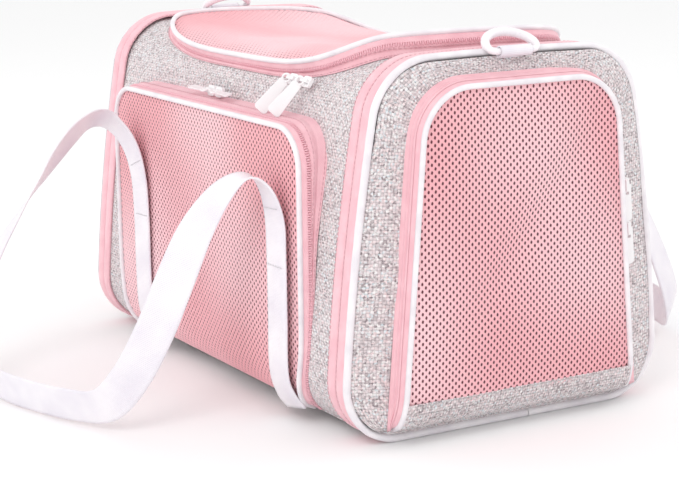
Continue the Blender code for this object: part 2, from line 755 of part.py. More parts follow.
def slider(name, place, body_origin):
    """Slider body with a bridge over it; the bridge's bar runs along the zip."""
    look = ("white_metal", WHITE, 0.3)
    half_l = SLIDER_LENGTH / 2
    half_w = SLIDER_WIDTH / 2
    outline = rounded_polygon([(-half_l, -half_w, 2.0), (half_l, -half_w, 2.0),
                               (half_l, half_w, 2.0), (-half_l, half_w, 2.0)], 2)
    body = prism(name, outline, 0.0, SLIDER_BODY, place, look, body_origin)
    bridge_half = BRIDGE_LENGTH / 2
    top = SLIDER_BODY + BRIDGE_GAP + BRIDGE_WALL
    low = SLIDER_BODY - 0.6
    outer = [(-bridge_half, low), (bridge_half, low), (bridge_half, top - 0.8), (bridge_half - 0.8, top),
             (-bridge_half + 0.8, top), (-bridge_half, top - 0.8)]
    bridge = prism(name + "_bridge", outer, -BRIDGE_WIDTH / 2, BRIDGE_WIDTH / 2,
                   lambda u, v, w: place(u, w, v), look, body_origin)
    window_half = bridge_half - BRIDGE_WALL
    window = [(-window_half, SLIDER_BODY), (window_half, SLIDER_BODY),
              (window_half, top - BRIDGE_WALL), (-window_half, top - BRIDGE_WALL)]
    cutter = prism(name + "_window", window, -BRIDGE_WIDTH, BRIDGE_WIDTH,
                   lambda u, v, w: place(u, w, v), look, body_origin)
    boolean(bridge, cutter, "DIFFERENCE")
    boolean(body, bridge, "UNION")
    return body


def flat_pull(name, place, direction):
    """A pull that lies along the zip: a tab whose pin passes under the bridge."""
    look = ("white_metal", WHITE, 0.3)
    axis_c = SLIDER_BODY + BRIDGE_GAP / 2
    half = PULL_WIDTH / 2
    origin = place(0, 0, axis_c)
    outline = rounded_polygon([(-PULL_PIN_R, -half, 0.6), (PULL_LENGTH, -half, 3.0),
                               (PULL_LENGTH, half, 3.0), (-PULL_PIN_R, half, 0.6)], 3)
    spread = PULL_THICKNESS / 2

    def put(u, v, w):
        return place(direction * u, v, axis_c + w)

    tab = prism(name, outline, -spread, spread, put, look, origin)
    hole_half = BRIDGE_WIDTH / 2 + 0.5
    hole = [(PULL_PIN_R, -hole_half), (BRIDGE_LENGTH / 2 + 2.2, -hole_half),
            (BRIDGE_LENGTH / 2 + 2.2, hole_half), (PULL_PIN_R, hole_half)]
    cutter = prism(name + "_hole", hole, -2, 2, put, look, origin)
    boolean(tab, cutter, "DIFFERENCE")
    return tab


def hanging_pull(name, place, down):
    """A pull that hangs across the zip: an eye round the bridge's bar, and a tab below it."""
    look = ("white_metal", WHITE, 0.3)
    bar_c = SLIDER_BODY + BRIDGE_GAP + BRIDGE_WALL / 2
    origin = place(0, 0, bar_c)
    spread = PULL_THICKNESS / 2
    count = 12
    circle = [(math.cos(2 * math.pi * k / count), math.sin(2 * math.pi * k / count)) for k in range(1, count)]
    eye = [(EYE_NECK, -spread), (EYE_NECK, spread)] + [(EYE_OUT * c, EYE_OUT * s) for c, s in circle]
    hole = [(EYE_IN * c, EYE_IN * s) for c, s in circle] + [(EYE_IN, 0.0)]

    def put(u, v, w):
        return place(w, down * u, bar_c + v)

    ring = prism(name, eye, -spread, spread, put, look, origin)
    half = PULL_WIDTH / 2
    slant = math.radians(TOP_PULL_SLANT)
    start = EYE_NECK - 1.0
    length = TOP_PULL_LENGTH - start
    outline = rounded_polygon([(0.0, -half, 1.5), (length, -half, 3.0),
                               (length, half, 3.0), (0.0, half, 1.5)], 3)

    def flat(u, v, w):
        sideways = v * math.cos(slant) - u * math.sin(slant)
        below = start + u * math.cos(slant) + v * math.sin(slant)
        return place(sideways, down * below, bar_c + w)

    tab = prism(name + "_tab", outline, -spread, spread, flat, look, origin)
    boolean(ring, tab, "UNION")
    cutter = prism(name + "_hole", hole, -2, 2, put, look, origin)
    boolean(ring, cutter, "DIFFERENCE")
    return ring


def make_zip_pulls():
    # Front door: sliders meet on the tape over the door's top edge, pulls lie outwards along it.
    z = SIDE_TOP + EDGE_R + SWING + TAPE_WIDTH / 2
    surface = side_y(z, GAP + TAPE + GAP)
    rise = 2.0
    slope = side_y(z + rise, 0) - side_y(z - rise, 0)
    out = (0.0, -2 * rise, -slope)
    for side, direction in (("left", -1), ("right", 1)):
        x = FRONT_MEET_X + direction * (SLIDER_LENGTH / 2 + SLIDER_SPACE)
        place = frame_axes((x, -surface, z), (1, 0, 0), out)
        slider(f"front_slider_{side}", place, place(0, 0, 0))
        flat_pull(f"front_pull_{side}", place, direction)

    # Top door: both sliders are on the front run near its +X corner, and their pulls hang down.
    for side, x in (("left", TOP_SLIDER_X - TOP_SLIDER_PITCH), ("right", TOP_SLIDER_X)):
        s = -(LID_HALF_S + EDGE_R + SWING + SLIDER_WIDTH / 2)
        y, z = top_point(s, TAPE_LIFT + TAPE + GAP)
        base = np.array(top_point(s, 0.0))
        out = np.array([y, z]) - base
        place = frame_axes((x, y, z), (1, 0, 0), (0.0, *out))
        slider(f"top_slider_{side}", place, place(0, 0, 0))
        hanging_pull(f"top_pull_{side}", place, down_sign(place))

    # End door: both sliders are on the +Y side, pulls hanging down the zip.
    offset = EDGE_R + SWING + TAPE_WIDTH / 2
    ring = end_arch(offset)
    right = [p for p, _ in ring if p[0] > 0]
    ys = [p[0] for p in right][::-1]
    zs = [p[1] for p in right][::-1]
    lift = END_PANEL_BOW * 0.95 + FABRIC / 2 + GAP + TAPE + GAP
    for side, z in (("upper", END_SLIDER_Z + END_SLIDER_PITCH), ("lower", END_SLIDER_Z)):
        y = float(np.interp(z, zs, ys))
        ahead = float(np.interp(z + 5, zs, ys))
        place = frame_axes((HOOP_X + lift, y, z), (0, ahead - y, 5), (1, 0, 0))
        slider(f"end_slider_{side}", place, place(0, 0, 0))
        flat_pull(f"end_pull_{side}", place, -1)


def down_sign(place):
    """1 or -1, so that moving across a zip by that sign goes down."""
    return 1 if place(0, 1, 0)[2] < place(0, 0, 0)[2] else -1


# D-rings ----------------------------------------------------------------------------------------------

def make_d_rings():
    hoop_top = HOOP_HEIGHT + HOOP_TOP_BOW + PIPING_R
    for end, sign in (("near", 1), ("far", -1)):
        pivot = np.array([sign * (HOOP_X + RING_OUT), 0.0, hoop_top + RING_UP])
        lean = math.radians(RING_LEAN)
        up = np.array([-sign * math.sin(lean), 0.0, math.cos(lean)])
        corner = RING_CORNER
        path = []
        for k in range(4):
            path.append(pivot + np.array([0, -(RING_HALF - corner) + 2 * (RING_HALF - corner) * k / 3, 0]))
        for k in range(1, 3):
            angle = -math.pi / 2 + math.pi / 2 * k / 2
            centre = pivot + np.array([0, RING_HALF - corner, 0]) + up * corner
            path.append(centre + corner * (np.array([0, math.cos(angle), 0]) + up * math.sin(angle)))
        for k in range(1, 12):
            angle = math.pi * k / 12
            centre = pivot + up * corner
            path.append(centre + np.array([0, RING_HALF * math.cos(angle), 0])
                        + up * (RING_REACH - corner) * math.sin(angle))
        for k in range(0, 2):
            angle = math.pi + math.pi / 2 * k / 2
            centre = pivot + np.array([0, -(RING_HALF - corner), 0]) + up * corner
            path.append(centre + corner * (np.array([0, math.cos(angle), 0]) + up * math.sin(angle)))
        normal = np.cross(np.array([0, 1, 0]), up)
        sweep(f"d_ring_{end}", path, ring_section(RING_R, 8), ("white_plastic", WHITE, 0.3), closed=True,
              side=normal, origin=pivot)

        inner = RING_R + GAP
        mid = inner + TAPE / 2
        tail_x = -sign * mid
        line = [np.array([tail_x, -RING_LOOP_TAIL]), np.array([tail_x, -RING_LOOP_TAIL / 2])]
        turns = 10
        for k in range(turns + 1):
            angle = math.pi - math.radians(RING_LOOP_WRAP) * k / turns
            line.append(mid * np.array([sign * math.cos(angle), math.sin(angle)]))
        points = [np.array([pivot[0] + p[0], 0.0, pivot[2] + p[1]]) for p in line]
        section = [(-TAPE / 2, -RING_LOOP_HALF), (TAPE / 2, -RING_LOOP_HALF),
                   (TAPE / 2, RING_LOOP_HALF), (-TAPE / 2, RING_LOOP_HALF)]
        sweep(f"d_ring_loop_{end}", points, section, WEBBING_LOOK, side=(0, 1, 0))


# Handles ----------------------------------------------------------------------------------------------

# Each point is x, distance out from the bag's middle plane and height, then the strap's width direction.
# Both handles follow this route: it leaves the foot of one leg, stands away from the door at the leg's
# top, falls to the ground, lies there on its edge, and comes back up to the other leg.
HANDLE = [
    (134, 127, 10, 1.0, 0.0, 0.2), (132, 134, 20, 1.0, 0.0, 0.2), (130, 139, 38, 1.0, 0.0, 0.0),
    (130, 139.2, 80, 1.0, 0.0, 0.0), (130, 139.2, 120, 1.0, 0.0, 0.0), (129.5, 140, 150, 1.0, 0.0, 0.1),
    (127, 146, 171, 1.0, 0.2, 0.2), (120, 157, 179, 1.0, 0.3, 0.0), (113, 173, 168, 1.0, 0.0, -0.3),
    (108, 191, 142, 0.8, -0.4, -0.4), (108, 208, 109, 0.6, -0.7, -0.4), (108, 224, 76, 0.5, -0.8, -0.4),
    (103, 241, 44, 0.4, -0.7, -0.6), (88, 256, 21, 0.2, -0.5, -0.8), (58, 270, 16, -0.1, -0.3, -0.9),
    (18, 284, 15, -0.1, -0.3, -0.95), (-25, 294, 16, -0.2, -0.2, -1.0), (-62, 299, 28, -0.5, 0.2, -0.8),
    (-90, 288, 57, -0.9, 0.2, -0.4), (-101, 264, 96, -1.0, 0.0, -0.2), (-103, 243, 125, -1.0, -0.3, -0.1),
    (-97, 226, 151, -0.9, -0.4, -0.3), (-100, 209, 171, -0.7, -0.3, -0.6), (-110, 189, 185, -0.6, -0.1, -0.7),
    (-121, 168, 192, -0.7, 0.1, -0.6), (-123, 152, 187, -0.9, 0.0, -0.4), (-113, 142.5, 170, -1.0, 0.0, -0.3),
    (-104, 139.5, 145, -1.0, 0.0, -0.1), (-101, 139.2, 110, -1.0, 0.0, 0.0), (-101, 139.2, 75, -1.0, 0.0, 0.0),
    (-99, 139, 38, -1.0, 0.0, 0.0), (-96, 134, 20, -1.0, 0.0, 0.0), (-94, 127, 10, -1.0, 0.0, 0.0),
]


def smooth_path(points, spacing):
    """A Catmull-Rom curve through the points, read off at even spacing; extra values ride along."""
    points = np.array(points, float)
    padded = np.vstack([2 * points[0] - points[1], points, 2 * points[-1] - points[-2]])
    dense = []
    for i in range(1, len(padded) - 2):
        p0, p1, p2, p3 = padded[i - 1:i + 3]
        for k in range(12):
            t = k / 12
            dense.append(0.5 * (2 * p1 + (p2 - p0) * t + (2 * p0 - 5 * p1 + 4 * p2 - p3) * t ** 2
                                + (3 * p1 - p0 - 3 * p2 + p3) * t ** 3))
    dense.append(points[-1])
    dense = np.array(dense)
    steps = np.linalg.norm(np.diff(dense[:, :3], axis=0), axis=1)
    lengths = np.concatenate([[0], np.cumsum(steps)])
    count = max(2, round(lengths[-1] / spacing))
    stops = np.linspace(0, lengths[-1], count + 1)
    return np.column_stack([np.interp(stops, lengths, dense[:, i]) for i in range(dense.shape[1])])


def make_handles():
    half = STRAP_WIDTH / 2
    section = [(-WEBBING / 2, -half), (WEBBING / 2, -half), (WEBBING / 2, half), (-WEBBING / 2, half)]
    route = smooth_path(HANDLE, HANDLE_SPACING)
    for name, sign in (("front_handle", -1), ("back_handle", 1)):
        mirrored = np.array([1.0, sign, 1.0])
        sweep(name, route[:, :3] * mirrored, section, WEBBING_LOOK, side=route[:, 3:] * mirrored)


clear_scene()
make_hoops()
make_base()
make_wrap()
end_panel("near_end_panel", 1)
end_panel("far_end_panel", -1)
make_front_door()
make_end_door()
make_top_door()
make_windows()
make_zip_pulls()
make_d_rings()
make_handles()
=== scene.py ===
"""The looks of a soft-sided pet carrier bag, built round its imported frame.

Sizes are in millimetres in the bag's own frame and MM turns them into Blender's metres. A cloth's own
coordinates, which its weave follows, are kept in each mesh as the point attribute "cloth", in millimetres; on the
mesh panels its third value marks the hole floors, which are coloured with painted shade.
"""

import json
import math
import random

import bmesh
import bpy
import numpy as np
from mathutils import Matrix, Vector


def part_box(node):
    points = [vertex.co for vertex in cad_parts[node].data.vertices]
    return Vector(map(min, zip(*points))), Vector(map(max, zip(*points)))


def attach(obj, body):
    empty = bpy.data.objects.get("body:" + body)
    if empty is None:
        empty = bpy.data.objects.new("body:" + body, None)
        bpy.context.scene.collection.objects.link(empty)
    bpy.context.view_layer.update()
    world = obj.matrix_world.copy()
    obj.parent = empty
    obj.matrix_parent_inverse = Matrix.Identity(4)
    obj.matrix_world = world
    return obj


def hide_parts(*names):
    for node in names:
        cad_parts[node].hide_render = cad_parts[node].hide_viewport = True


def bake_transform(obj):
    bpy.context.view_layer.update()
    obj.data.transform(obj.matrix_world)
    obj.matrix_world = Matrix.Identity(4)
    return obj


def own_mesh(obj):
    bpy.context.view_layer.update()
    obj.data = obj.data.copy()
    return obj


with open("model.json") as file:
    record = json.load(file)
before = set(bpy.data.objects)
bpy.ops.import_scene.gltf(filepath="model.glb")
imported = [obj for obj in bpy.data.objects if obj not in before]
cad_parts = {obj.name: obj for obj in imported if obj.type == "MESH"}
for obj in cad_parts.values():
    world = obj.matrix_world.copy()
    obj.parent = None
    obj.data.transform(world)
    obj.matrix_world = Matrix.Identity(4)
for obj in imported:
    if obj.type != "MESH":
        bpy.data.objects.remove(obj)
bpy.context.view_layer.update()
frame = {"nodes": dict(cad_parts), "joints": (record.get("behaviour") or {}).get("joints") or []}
MM = 0.001
HINGE_AT = {joint["name"]: np.array(joint["pos_m"]) / MM for joint in frame["joints"] if "pos_m" in joint}


def span(node, axis):
    """Lowest and highest coordinate of a CAD node along an axis."""
    low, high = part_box(node)
    return low[axis] / MM, high[axis] / MM


# Frame sizes, as the CAD model has them
HOOP_BASE_HALF = 133.7
HOOP_TOP_HALF = 102.0
HOOP_HEIGHT = 260.0
HOOP_BASE_RADIUS = 38.0
HOOP_TOP_RADIUS = 40.0
HOOP_SIDE_BOW = 5.4
HOOP_TOP_BOW = 2.1
HOOP_X = sum(span("hoop_piping_near", 0)) / 2
PIPING_R = (span("hoop_piping_near", 0)[1] - span("hoop_piping_near", 0)[0]) / 2
WRAP_X = span("front_panel", 0)[1]
BINDING_WIDTH = 22.6
SEAM_Z = 9.5
HINGE_Z = 11.5
SIDE_HALF = 156.0
SIDE_TOP = 213.5
SIDE_RADIUS = 28.0
SIDE_TAPER = 13.0
SIDE_KNEE = 75.0
SIDE_PLANE = 134.0
SIDE_HINGE = 117.04
FLOOR_KNEE = 40.0
END_HALF_BASE = 98.0
END_HALF_TOP = 79.0
END_TOP = 245.5
END_RADIUS = 38.0
END_PLANE = HOOP_X + 20.0
END_HINGE = HOOP_X + 5.9
END_PANEL_BOW = 7.0
END_PANEL_SWELL = 38.0        # how far from the door the end panel starts to swell
KICK_TOP = 29.0
LID_HALF_X = 180.0
LID_HALF_S = 104.0
LID_FAR_SQUARE = 3.3          # how square the lid's two ends are: 2 is an oval
LID_NEAR_SQUARE = 3.8
LID_PROUD = 9.0
LID_NEAR_LIFT = 6.5
OPENING_GAP = 3.1             # from a door's piping to the edge of the opening it leaves
STRAP_WIDTH = 28.0
STRAP_THICKNESS = 1.6

# Looks only
FINE = 3.0                    # point spacings along outlines
COARSE = 4.0
DOOR_PIPING_R = 2.05
HOLE_PITCH = 5.2
HOLE_HALF_WIDTH = 0.68
HOLE_HALF_HEIGHT = 1.15
HOLE_DEPTH = 0.8
MESH_MARGIN = 0.6             # holes may be centred this far past a mesh's edge, and its points lie
MESH_GROW = 1.0               # at most this far past it
TOP_SAG = 17.0                # of the wrap, halfway between the hoops
COIL_AT = 6.0                 # from a door's piping, round its gusset
COIL_WIDTH = 3.0
TOOTH_PITCH = 1.7
BAND_COLUMNS = 26
CLOTH_THICKNESS = 1.6
TAPE_THICKNESS = 0.7
RING_POINTS = 300


# Camera, lights and floor

def make_camera():
    azimuth, elevation, roll = (math.radians(angle) for angle in (60.044, 12.070, -0.775))
    back = Vector((math.sin(azimuth) * math.cos(elevation), -math.cos(azimuth) * math.cos(elevation),
                   math.sin(elevation)))
    level = Vector((math.cos(azimuth), math.sin(azimuth), 0.0))
    up = back.cross(level)
    right = level * math.cos(roll) + up * math.sin(roll)
    top = up * math.cos(roll) - level * math.sin(roll)
    data = bpy.data.cameras.new("camera")
    data.sensor_width = 36.0
    data.lens = 98.6
    data.clip_end = 20.0
    camera = bpy.data.objects.new("camera", data)
    spot = Vector((0.0, -0.0129, 0.0907)) + back * 1.4883
    camera.matrix_world = Matrix.Translation(spot) @ Matrix((right, top, back)).transposed().to_4x4()
    bpy.context.scene.collection.objects.link(camera)
    bpy.context.scene.camera = camera


def make_studio():
    world = bpy.data.worlds.new("studio")
    world.use_nodes = True
    world.node_tree.nodes["Background"].inputs["Color"].default_value = (1.0, 1.0, 1.0, 1.0)
    world.node_tree.nodes["Background"].inputs["Strength"].default_value = 1.0
    bpy.context.scene.world = world
    bpy.context.scene.view_settings.view_transform = "Standard"
    for name, spot, aim_height, size, watts in (("key", (1.1, -1.5, 1.6), 0.1, 1.1, 10.0),
                                                ("fill", (-1.6, -1.4, 0.9), 0.1, 1.4, 5.0),
                                                ("rim", (0.4, 1.8, 1.4), 0.15, 1.0, 6.0)):
        data = bpy.data.lights.new(name, "AREA")
        data.shape = "DISK"
        data.size = size
        data.energy = watts
        light = bpy.data.objects.new(name, data)
        light.location = spot
        aim = Vector((0.0, 0.0, aim_height)) - Vector(spot)
        light.rotation_euler = aim.to_track_quat("-Z", "Y").to_euler()
        bpy.context.scene.collection.objects.link(light)
    half = 6.0
    mesh = bpy.data.meshes.new("floor")
    mesh.from_pydata([(-half, -half, 0), (half, -half, 0), (half, half, 0), (-half, half, 0)], [], [(0, 1, 2, 3)])
    floor = bpy.data.objects.new("floor", mesh)
    bpy.context.scene.collection.objects.link(floor)
    look = bpy.data.materials.new("floor")
    look.use_nodes = True
    shader = look.node_tree.nodes["Principled BSDF"]
    shader.inputs["Base Color"].default_value = (0.93, 0.93, 0.93, 1.0)
    shader.inputs["Roughness"].default_value = 0.9
    mesh.materials.append(look)


# Materials

class Look:
    """A Principled material, with short calls that add nodes to it."""

    def __init__(self, name, colour, roughness, metallic=0.0, sheen=0.0, coat=0.0):
        self.material = bpy.data.materials.new(name)
        self.material.use_nodes = True
        self.tree = self.material.node_tree
        self.shader = self.tree.nodes["Principled BSDF"]
        self.set("Base Color", (*colour, 1.0))
        self.set("Roughness", roughness)
        self.set("Metallic", metallic)
        self.set("Sheen Weight", sheen)
        self.set("Sheen Roughness", 0.4)
        self.set("Coat Weight", coat)
        self.material.diffuse_color = (*colour, 1.0)

    def set(self, socket, value):
        self.put(self.shader, socket, value)

    def put(self, node, socket, value):
        if isinstance(value, bpy.types.NodeSocket):
            self.tree.links.new(value, node.inputs[socket])
        else:
            node.inputs[socket].default_value = value

    def node(self, kind, inputs=(), **settings):
        made = self.tree.nodes.new(kind)
        for name, value in settings.items():
            setattr(made, name, value)
        for socket, value in dict(inputs).items():
            self.put(made, socket, value)
        return made

    def math(self, operation, a, b=0.0):
        return self.node("ShaderNodeMath", {0: a, 1: b}, operation=operation).outputs[0]

    def add(self, a, b):
        return self.math("ADD", a, b)

    def times(self, a, b):
        return self.math("MULTIPLY", a, b)

    def cloth(self):
        """The piece's cloth coordinates, along and across, in millimetres."""
        read = self.node("ShaderNodeAttribute", attribute_name="cloth")
        split = self.node("ShaderNodeSeparateXYZ", {0: read.outputs["Vector"]})
        return read.outputs["Vector"], split.outputs[0], split.outputs[1]

    def place(self):
        """The point in the bag's frame, in metres."""
        return self.node("ShaderNodeTexCoord").outputs["Object"]

    def wave(self, value, period):
        """A sine of a length, from -1 to 1."""
        return self.math("SINE", self.times(value, 2 * math.pi / period))

    def noise(self, vector, scale, detail=2.0):
        made = self.node("ShaderNodeTexNoise", {"Vector": vector, "Scale": scale, "Detail": detail})
        return made.outputs["Fac"]

    def cells(self, vector, scale):
        """A random number that is the same all over each small cell."""
        made = self.node("ShaderNodeTexVoronoi", {"Vector": vector, "Scale": scale})
        return self.node("ShaderNodeSeparateColor", {0: made.outputs["Color"]}).outputs[0]

    def ramp(self, value, stops):
        made = self.node("ShaderNodeValToRGB", {"Fac": value})
        ramp = made.color_ramp
        for position, _ in stops[2:]:
            ramp.elements.new(position)
        for element, (position, colour) in zip(ramp.elements, sorted(stops)):
            element.position = position
            element.color = (*colour, 1.0)
        return made.outputs["Color"]

    def tint(self, value, *stops):
        """Colour the surface by a ramp of a value."""
        self.set("Base Color", self.ramp(value, stops))

    def mix(self, share, a, b):
        made = self.node("ShaderNodeMix", data_type="RGBA")
        for socket, value in ((0, share), (6, a), (7, b)):
            if isinstance(value, tuple) and len(value) == 3:
                value = (*value, 1.0)
            self.put(made, socket, value)
        return made.outputs[2]

    def bump(self, height, distance, strength=1.0):
        made = self.node("ShaderNodeBump", {"Height": height, "Distance": distance * MM, "Strength": strength})
        self.set("Normal", made.outputs["Normal"])


def glitter_look(look):
    """Coarse silver-grey basket weave: raised grains, painted shade in the gaps between them, and small flakes whose
    brightest and tinted ones are painted glints.
    """
    cloth, u, v = look.cloth()
    wobble = look.times(look.noise(cloth, 0.25), 1.6)
    weave = look.times(look.wave(look.add(u, wobble), 4.6), look.wave(look.add(v, wobble), 4.2))
    grain = look.math("ABSOLUTE", weave)
    # The near-black low ends of both ramps fall in the gaps between the grains, where the bump sinks: painted shade.
    under = look.ramp(grain, [(0.02, (0.12, 0.09, 0.10)), (0.42, (0.62, 0.55, 0.56))])
    over = look.ramp(grain, [(0.0, (0.15, 0.12, 0.13)), (0.35, (0.98, 0.90, 0.92))])
    body = look.mix(look.times(look.math("GREATER_THAN", weave, 0.0), 0.7), under, over)
    flake = look.cells(cloth, 0.7)
    # The flakes' grey and near-black tones are their own colour; the near-white ones and the pink and blue tinted
    # ones are painted glints and painted iridescent reflections of the metal flakes.
    flake_tone_and_glint = look.ramp(flake, [(0.0, (0.11, 0.08, 0.09)), (0.18, (0.42, 0.36, 0.37)), (0.45, (0.74, 0.66, 0.68)),
                              (0.66, (0.95, 0.74, 0.74)), (0.75, (0.66, 0.84, 0.90)), (0.84, (1.0, 1.0, 0.98))])
    body = look.mix(0.55, body, flake_tone_and_glint)
    look.set("Base Color", look.mix(look.times(look.noise(cloth, 0.02), 0.2), body, (0.66, 0.58, 0.60)))
    shiny = look.math("GREATER_THAN", flake, 0.82)
    look.set("Roughness", look.math("SUBTRACT", 0.62, look.times(shiny, 0.35)))
    look.bump(look.add(grain, look.times(flake, 0.5)), 0.35, 0.8)


def tape_look(look):
    """Pale pink nylon tape with a fine rib across it."""
    cloth, u, v = look.cloth()
    rib = look.wave(look.add(u, look.times(v, 0.6)), 1.1)
    drift = look.noise(cloth, 0.08)
    look.tint(look.add(look.times(rib, 0.12), drift), (0.25, (0.86, 0.47, 0.53)), (0.75, (0.95, 0.59, 0.64)))
    look.bump(look.add(rib, look.times(drift, 1.5)), 0.12, 0.6)


def mesh_look(look):
    """Pink knitted mesh: a soft nap with fine loops between its holes, whose floors are painted near black as painted
    shade for the shaded inside seen through them.
    """
    cloth, u, v = look.cloth()
    loops = look.times(look.wave(u, 1.3), look.wave(v, 1.3))
    shade = look.add(look.times(loops, 0.06), look.noise(cloth, 0.008, 0.0))
    knit = look.ramp(shade, [(0.32, (0.92, 0.46, 0.50)), (0.68, (0.99, 0.65, 0.69))])
    # The hole floors, marked by the third cloth value, get painted shade in place of the shaded inside of the bag
    # seen through the holes.
    hole_floor_mask = look.node("ShaderNodeSeparateXYZ", {0: cloth}).outputs[2]
    painted_hole_shade = look.ramp(hole_floor_mask, [(0.80, (0.0, 0.0, 0.0)), (0.97, (1.0, 1.0, 1.0))])
    look.set("Base Color", look.mix(painted_hole_shade, knit, (0.13, 0.025, 0.04)))
    look.bump(loops, 0.12, 0.5)


def piping_look(look):
    """White coated cloth: smooth, with a faint grain and soft dents."""
    cloth, _, _ = look.cloth()
    grain = look.noise(cloth, 1.4, 4.0)
    dents = look.noise(cloth, 0.07)
    look.tint(dents, (0.3, (0.78, 0.74, 0.78)), (0.7, (0.90, 0.87, 0.89)))
    look.set("Roughness", look.add(0.30, look.times(grain, 0.2)))
    look.bump(look.add(look.times(grain, 0.25), dents), 0.3, 0.5)


def webbing_look(look):
    """Pearl white webbing with a satin float, ribbed across."""
    cloth, u, v = look.cloth()
    rib = look.wave(u, 1.2)
    satin = look.wave(look.add(v, look.times(u, 0.5)), 2.4)
    drift = look.noise(cloth, 0.03)
    look.tint(look.add(look.times(rib, 0.05), drift), (0.3, (0.80, 0.76, 0.83)), (0.7, (0.92, 0.89, 0.92)))
    look.set("Roughness", look.add(0.28, look.times(drift, 0.18)))
    look.bump(look.add(rib, look.times(satin, 0.4)), 0.09, 0.6)


def thread_look(look, colour):
    """Twisted sewing thread."""
    _, u, v = look.cloth()
    twist = look.wave(look.add(u, v), 0.5)
    look.set("Base Color", look.mix(look.add(0.5, look.times(twist, 0.4)), tuple(0.85 * c for c in colour), colour))
    look.bump(twist, 0.08)


def coil_look(look):
    """Nylon zip coil, glossier and a little deeper than its tape."""
    drift = look.noise(look.place(), 900.0)
    look.tint(drift, (0.3, (0.87, 0.47, 0.54)), (0.7, (0.94, 0.57, 0.63)))
    look.bump(drift, 0.05)


def hard_look(look, colour, roughness, wear):
    """A smooth hard surface with faint cast ripples, and small rubbed patches."""
    place = look.place()
    ripples = look.noise(place, 260.0, 3.0)
    patch = look.ramp(look.noise(place, 90.0, 4.0), [(0.62, (0.0, 0.0, 0.0)), (0.70, (1.0, 1.0, 1.0))])
    look.set("Base Color", look.mix(look.times(patch, 0.35), colour, wear))
    look.set("Roughness", look.add(roughness, look.times(ripples, 0.12)))
    look.bump(ripples, 0.12, 0.4)


def fleece_look(look):
    """Off-white fleece: a deep, uneven nap."""
    place = look.place()
    nap = look.noise(place, 900.0, 5.0)
    tufts = look.noise(place, 140.0, 3.0)
    look.tint(look.add(look.times(nap, 0.5), look.times(tufts, 0.5)),
              (0.3, (0.78, 0.72, 0.70)), (0.7, (0.95, 0.92, 0.90)))
    look.bump(look.add(nap, tufts), 1.2, 0.8)


def board_look(look):
    """Dark pressed fibre board."""
    fibre = look.noise(look.place(), 420.0, 5.0)
    look.tint(fibre, (0.3, (0.035, 0.034, 0.036)), (0.7, (0.085, 0.082, 0.084)))
    look.bump(fibre, 0.15, 0.5)


LOOKS = {}
for kind, base_colour, rough, weights, build in (
        ("glitter_fabric", (0.60, 0.57, 0.57), 0.55, {"sheen": 0.15}, glitter_look),
        ("pink_tape", (0.93, 0.58, 0.63), 0.55, {"sheen": 0.25}, tape_look),
        ("pink_mesh", (0.98, 0.62, 0.66), 0.65, {"sheen": 0.08}, mesh_look),
        ("white_piping", (0.92, 0.91, 0.92), 0.38, {"coat": 0.15}, piping_look),
        ("pearl_webbing", (0.87, 0.83, 0.88), 0.34, {"sheen": 0.35}, webbing_look),
        ("fleece", (0.90, 0.86, 0.84), 0.95, {"sheen": 0.6}, fleece_look),
        ("board", (0.05, 0.05, 0.055), 0.55, {}, board_look),
        ("pink_coil", (0.90, 0.51, 0.57), 0.32, {}, coil_look)):
    LOOKS[kind] = Look(kind, base_colour, rough, **weights)
    build(LOOKS[kind])
for kind, base_colour, rough, weights, wear in (
        ("spring_steel", (0.55, 0.55, 0.57), 0.3, {"metallic": 1.0}, (0.42, 0.40, 0.39)),
        ("white_metal", (0.90, 0.89, 0.90), 0.24, {"coat": 0.5}, (0.84, 0.82, 0.82)),
        ("white_plastic", (0.90, 0.86, 0.89), 0.22, {"coat": 0.3}, (0.86, 0.82, 0.85))):
    LOOKS[kind] = Look(kind, base_colour, rough, **weights)
    hard_look(LOOKS[kind], base_colour, rough, wear)
for kind, base_colour in (("pink_thread", (0.90, 0.50, 0.56)), ("white_thread", (0.86, 0.84, 0.86)),
                          ("grey_thread", (0.66, 0.63, 0.64))):
    LOOKS[kind] = Look(kind, base_colour, 0.5, sheen=0.2)
    thread_look(LOOKS[kind], base_colour)


# Lines and outlines

def unit(vectors):
    return vectors / np.linalg.norm(vectors, axis=-1, keepdims=True)


def lengths_along(line):
    return np.concatenate([[0], np.cumsum(np.linalg.norm(np.diff(line, axis=0), axis=1))])


def read_off(points, lengths, stops):
    return np.column_stack([np.interp(stops, lengths, column) for column in points.T])


def even(points, spacing, closed=False):
    """The same line, with points at an even spacing; columns past the third ride along."""
    points = np.array(points, float)
    if closed:
        points = np.vstack([points, points[:1]])
    lengths = lengths_along(points[:, :3])
    count = max(2, round(lengths[-1] / spacing))
    stops = np.linspace(0, lengths[-1], count + 1)
    return read_off(points, lengths, stops[:-1] if closed else stops)


def resize_ring(ring, count):
    """A closed ring of points read off at count even stations."""
    closed = np.vstack([ring, ring[:1]])
    lengths = lengths_along(closed)
    return read_off(closed, lengths, np.linspace(0, lengths[-1], count, endpoint=False))


def curve(points, parts):
    """A Catmull-Rom curve through points, with each gap in so many parts."""
    padded = np.vstack([2 * points[0] - points[1], points, 2 * points[-1] - points[-2]])
    dense = []
    for p0, p1, p2, p3 in zip(padded, padded[1:], padded[2:], padded[3:]):
        for t in np.arange(parts) / parts:
            dense.append(0.5 * (2 * p1 + (p2 - p0) * t + (2 * p0 - 5 * p1 + 4 * p2 - p3) * t ** 2
                                + (3 * p1 - p0 - 3 * p2 + p3) * t ** 3))
    return np.array(dense + [points[-1]])


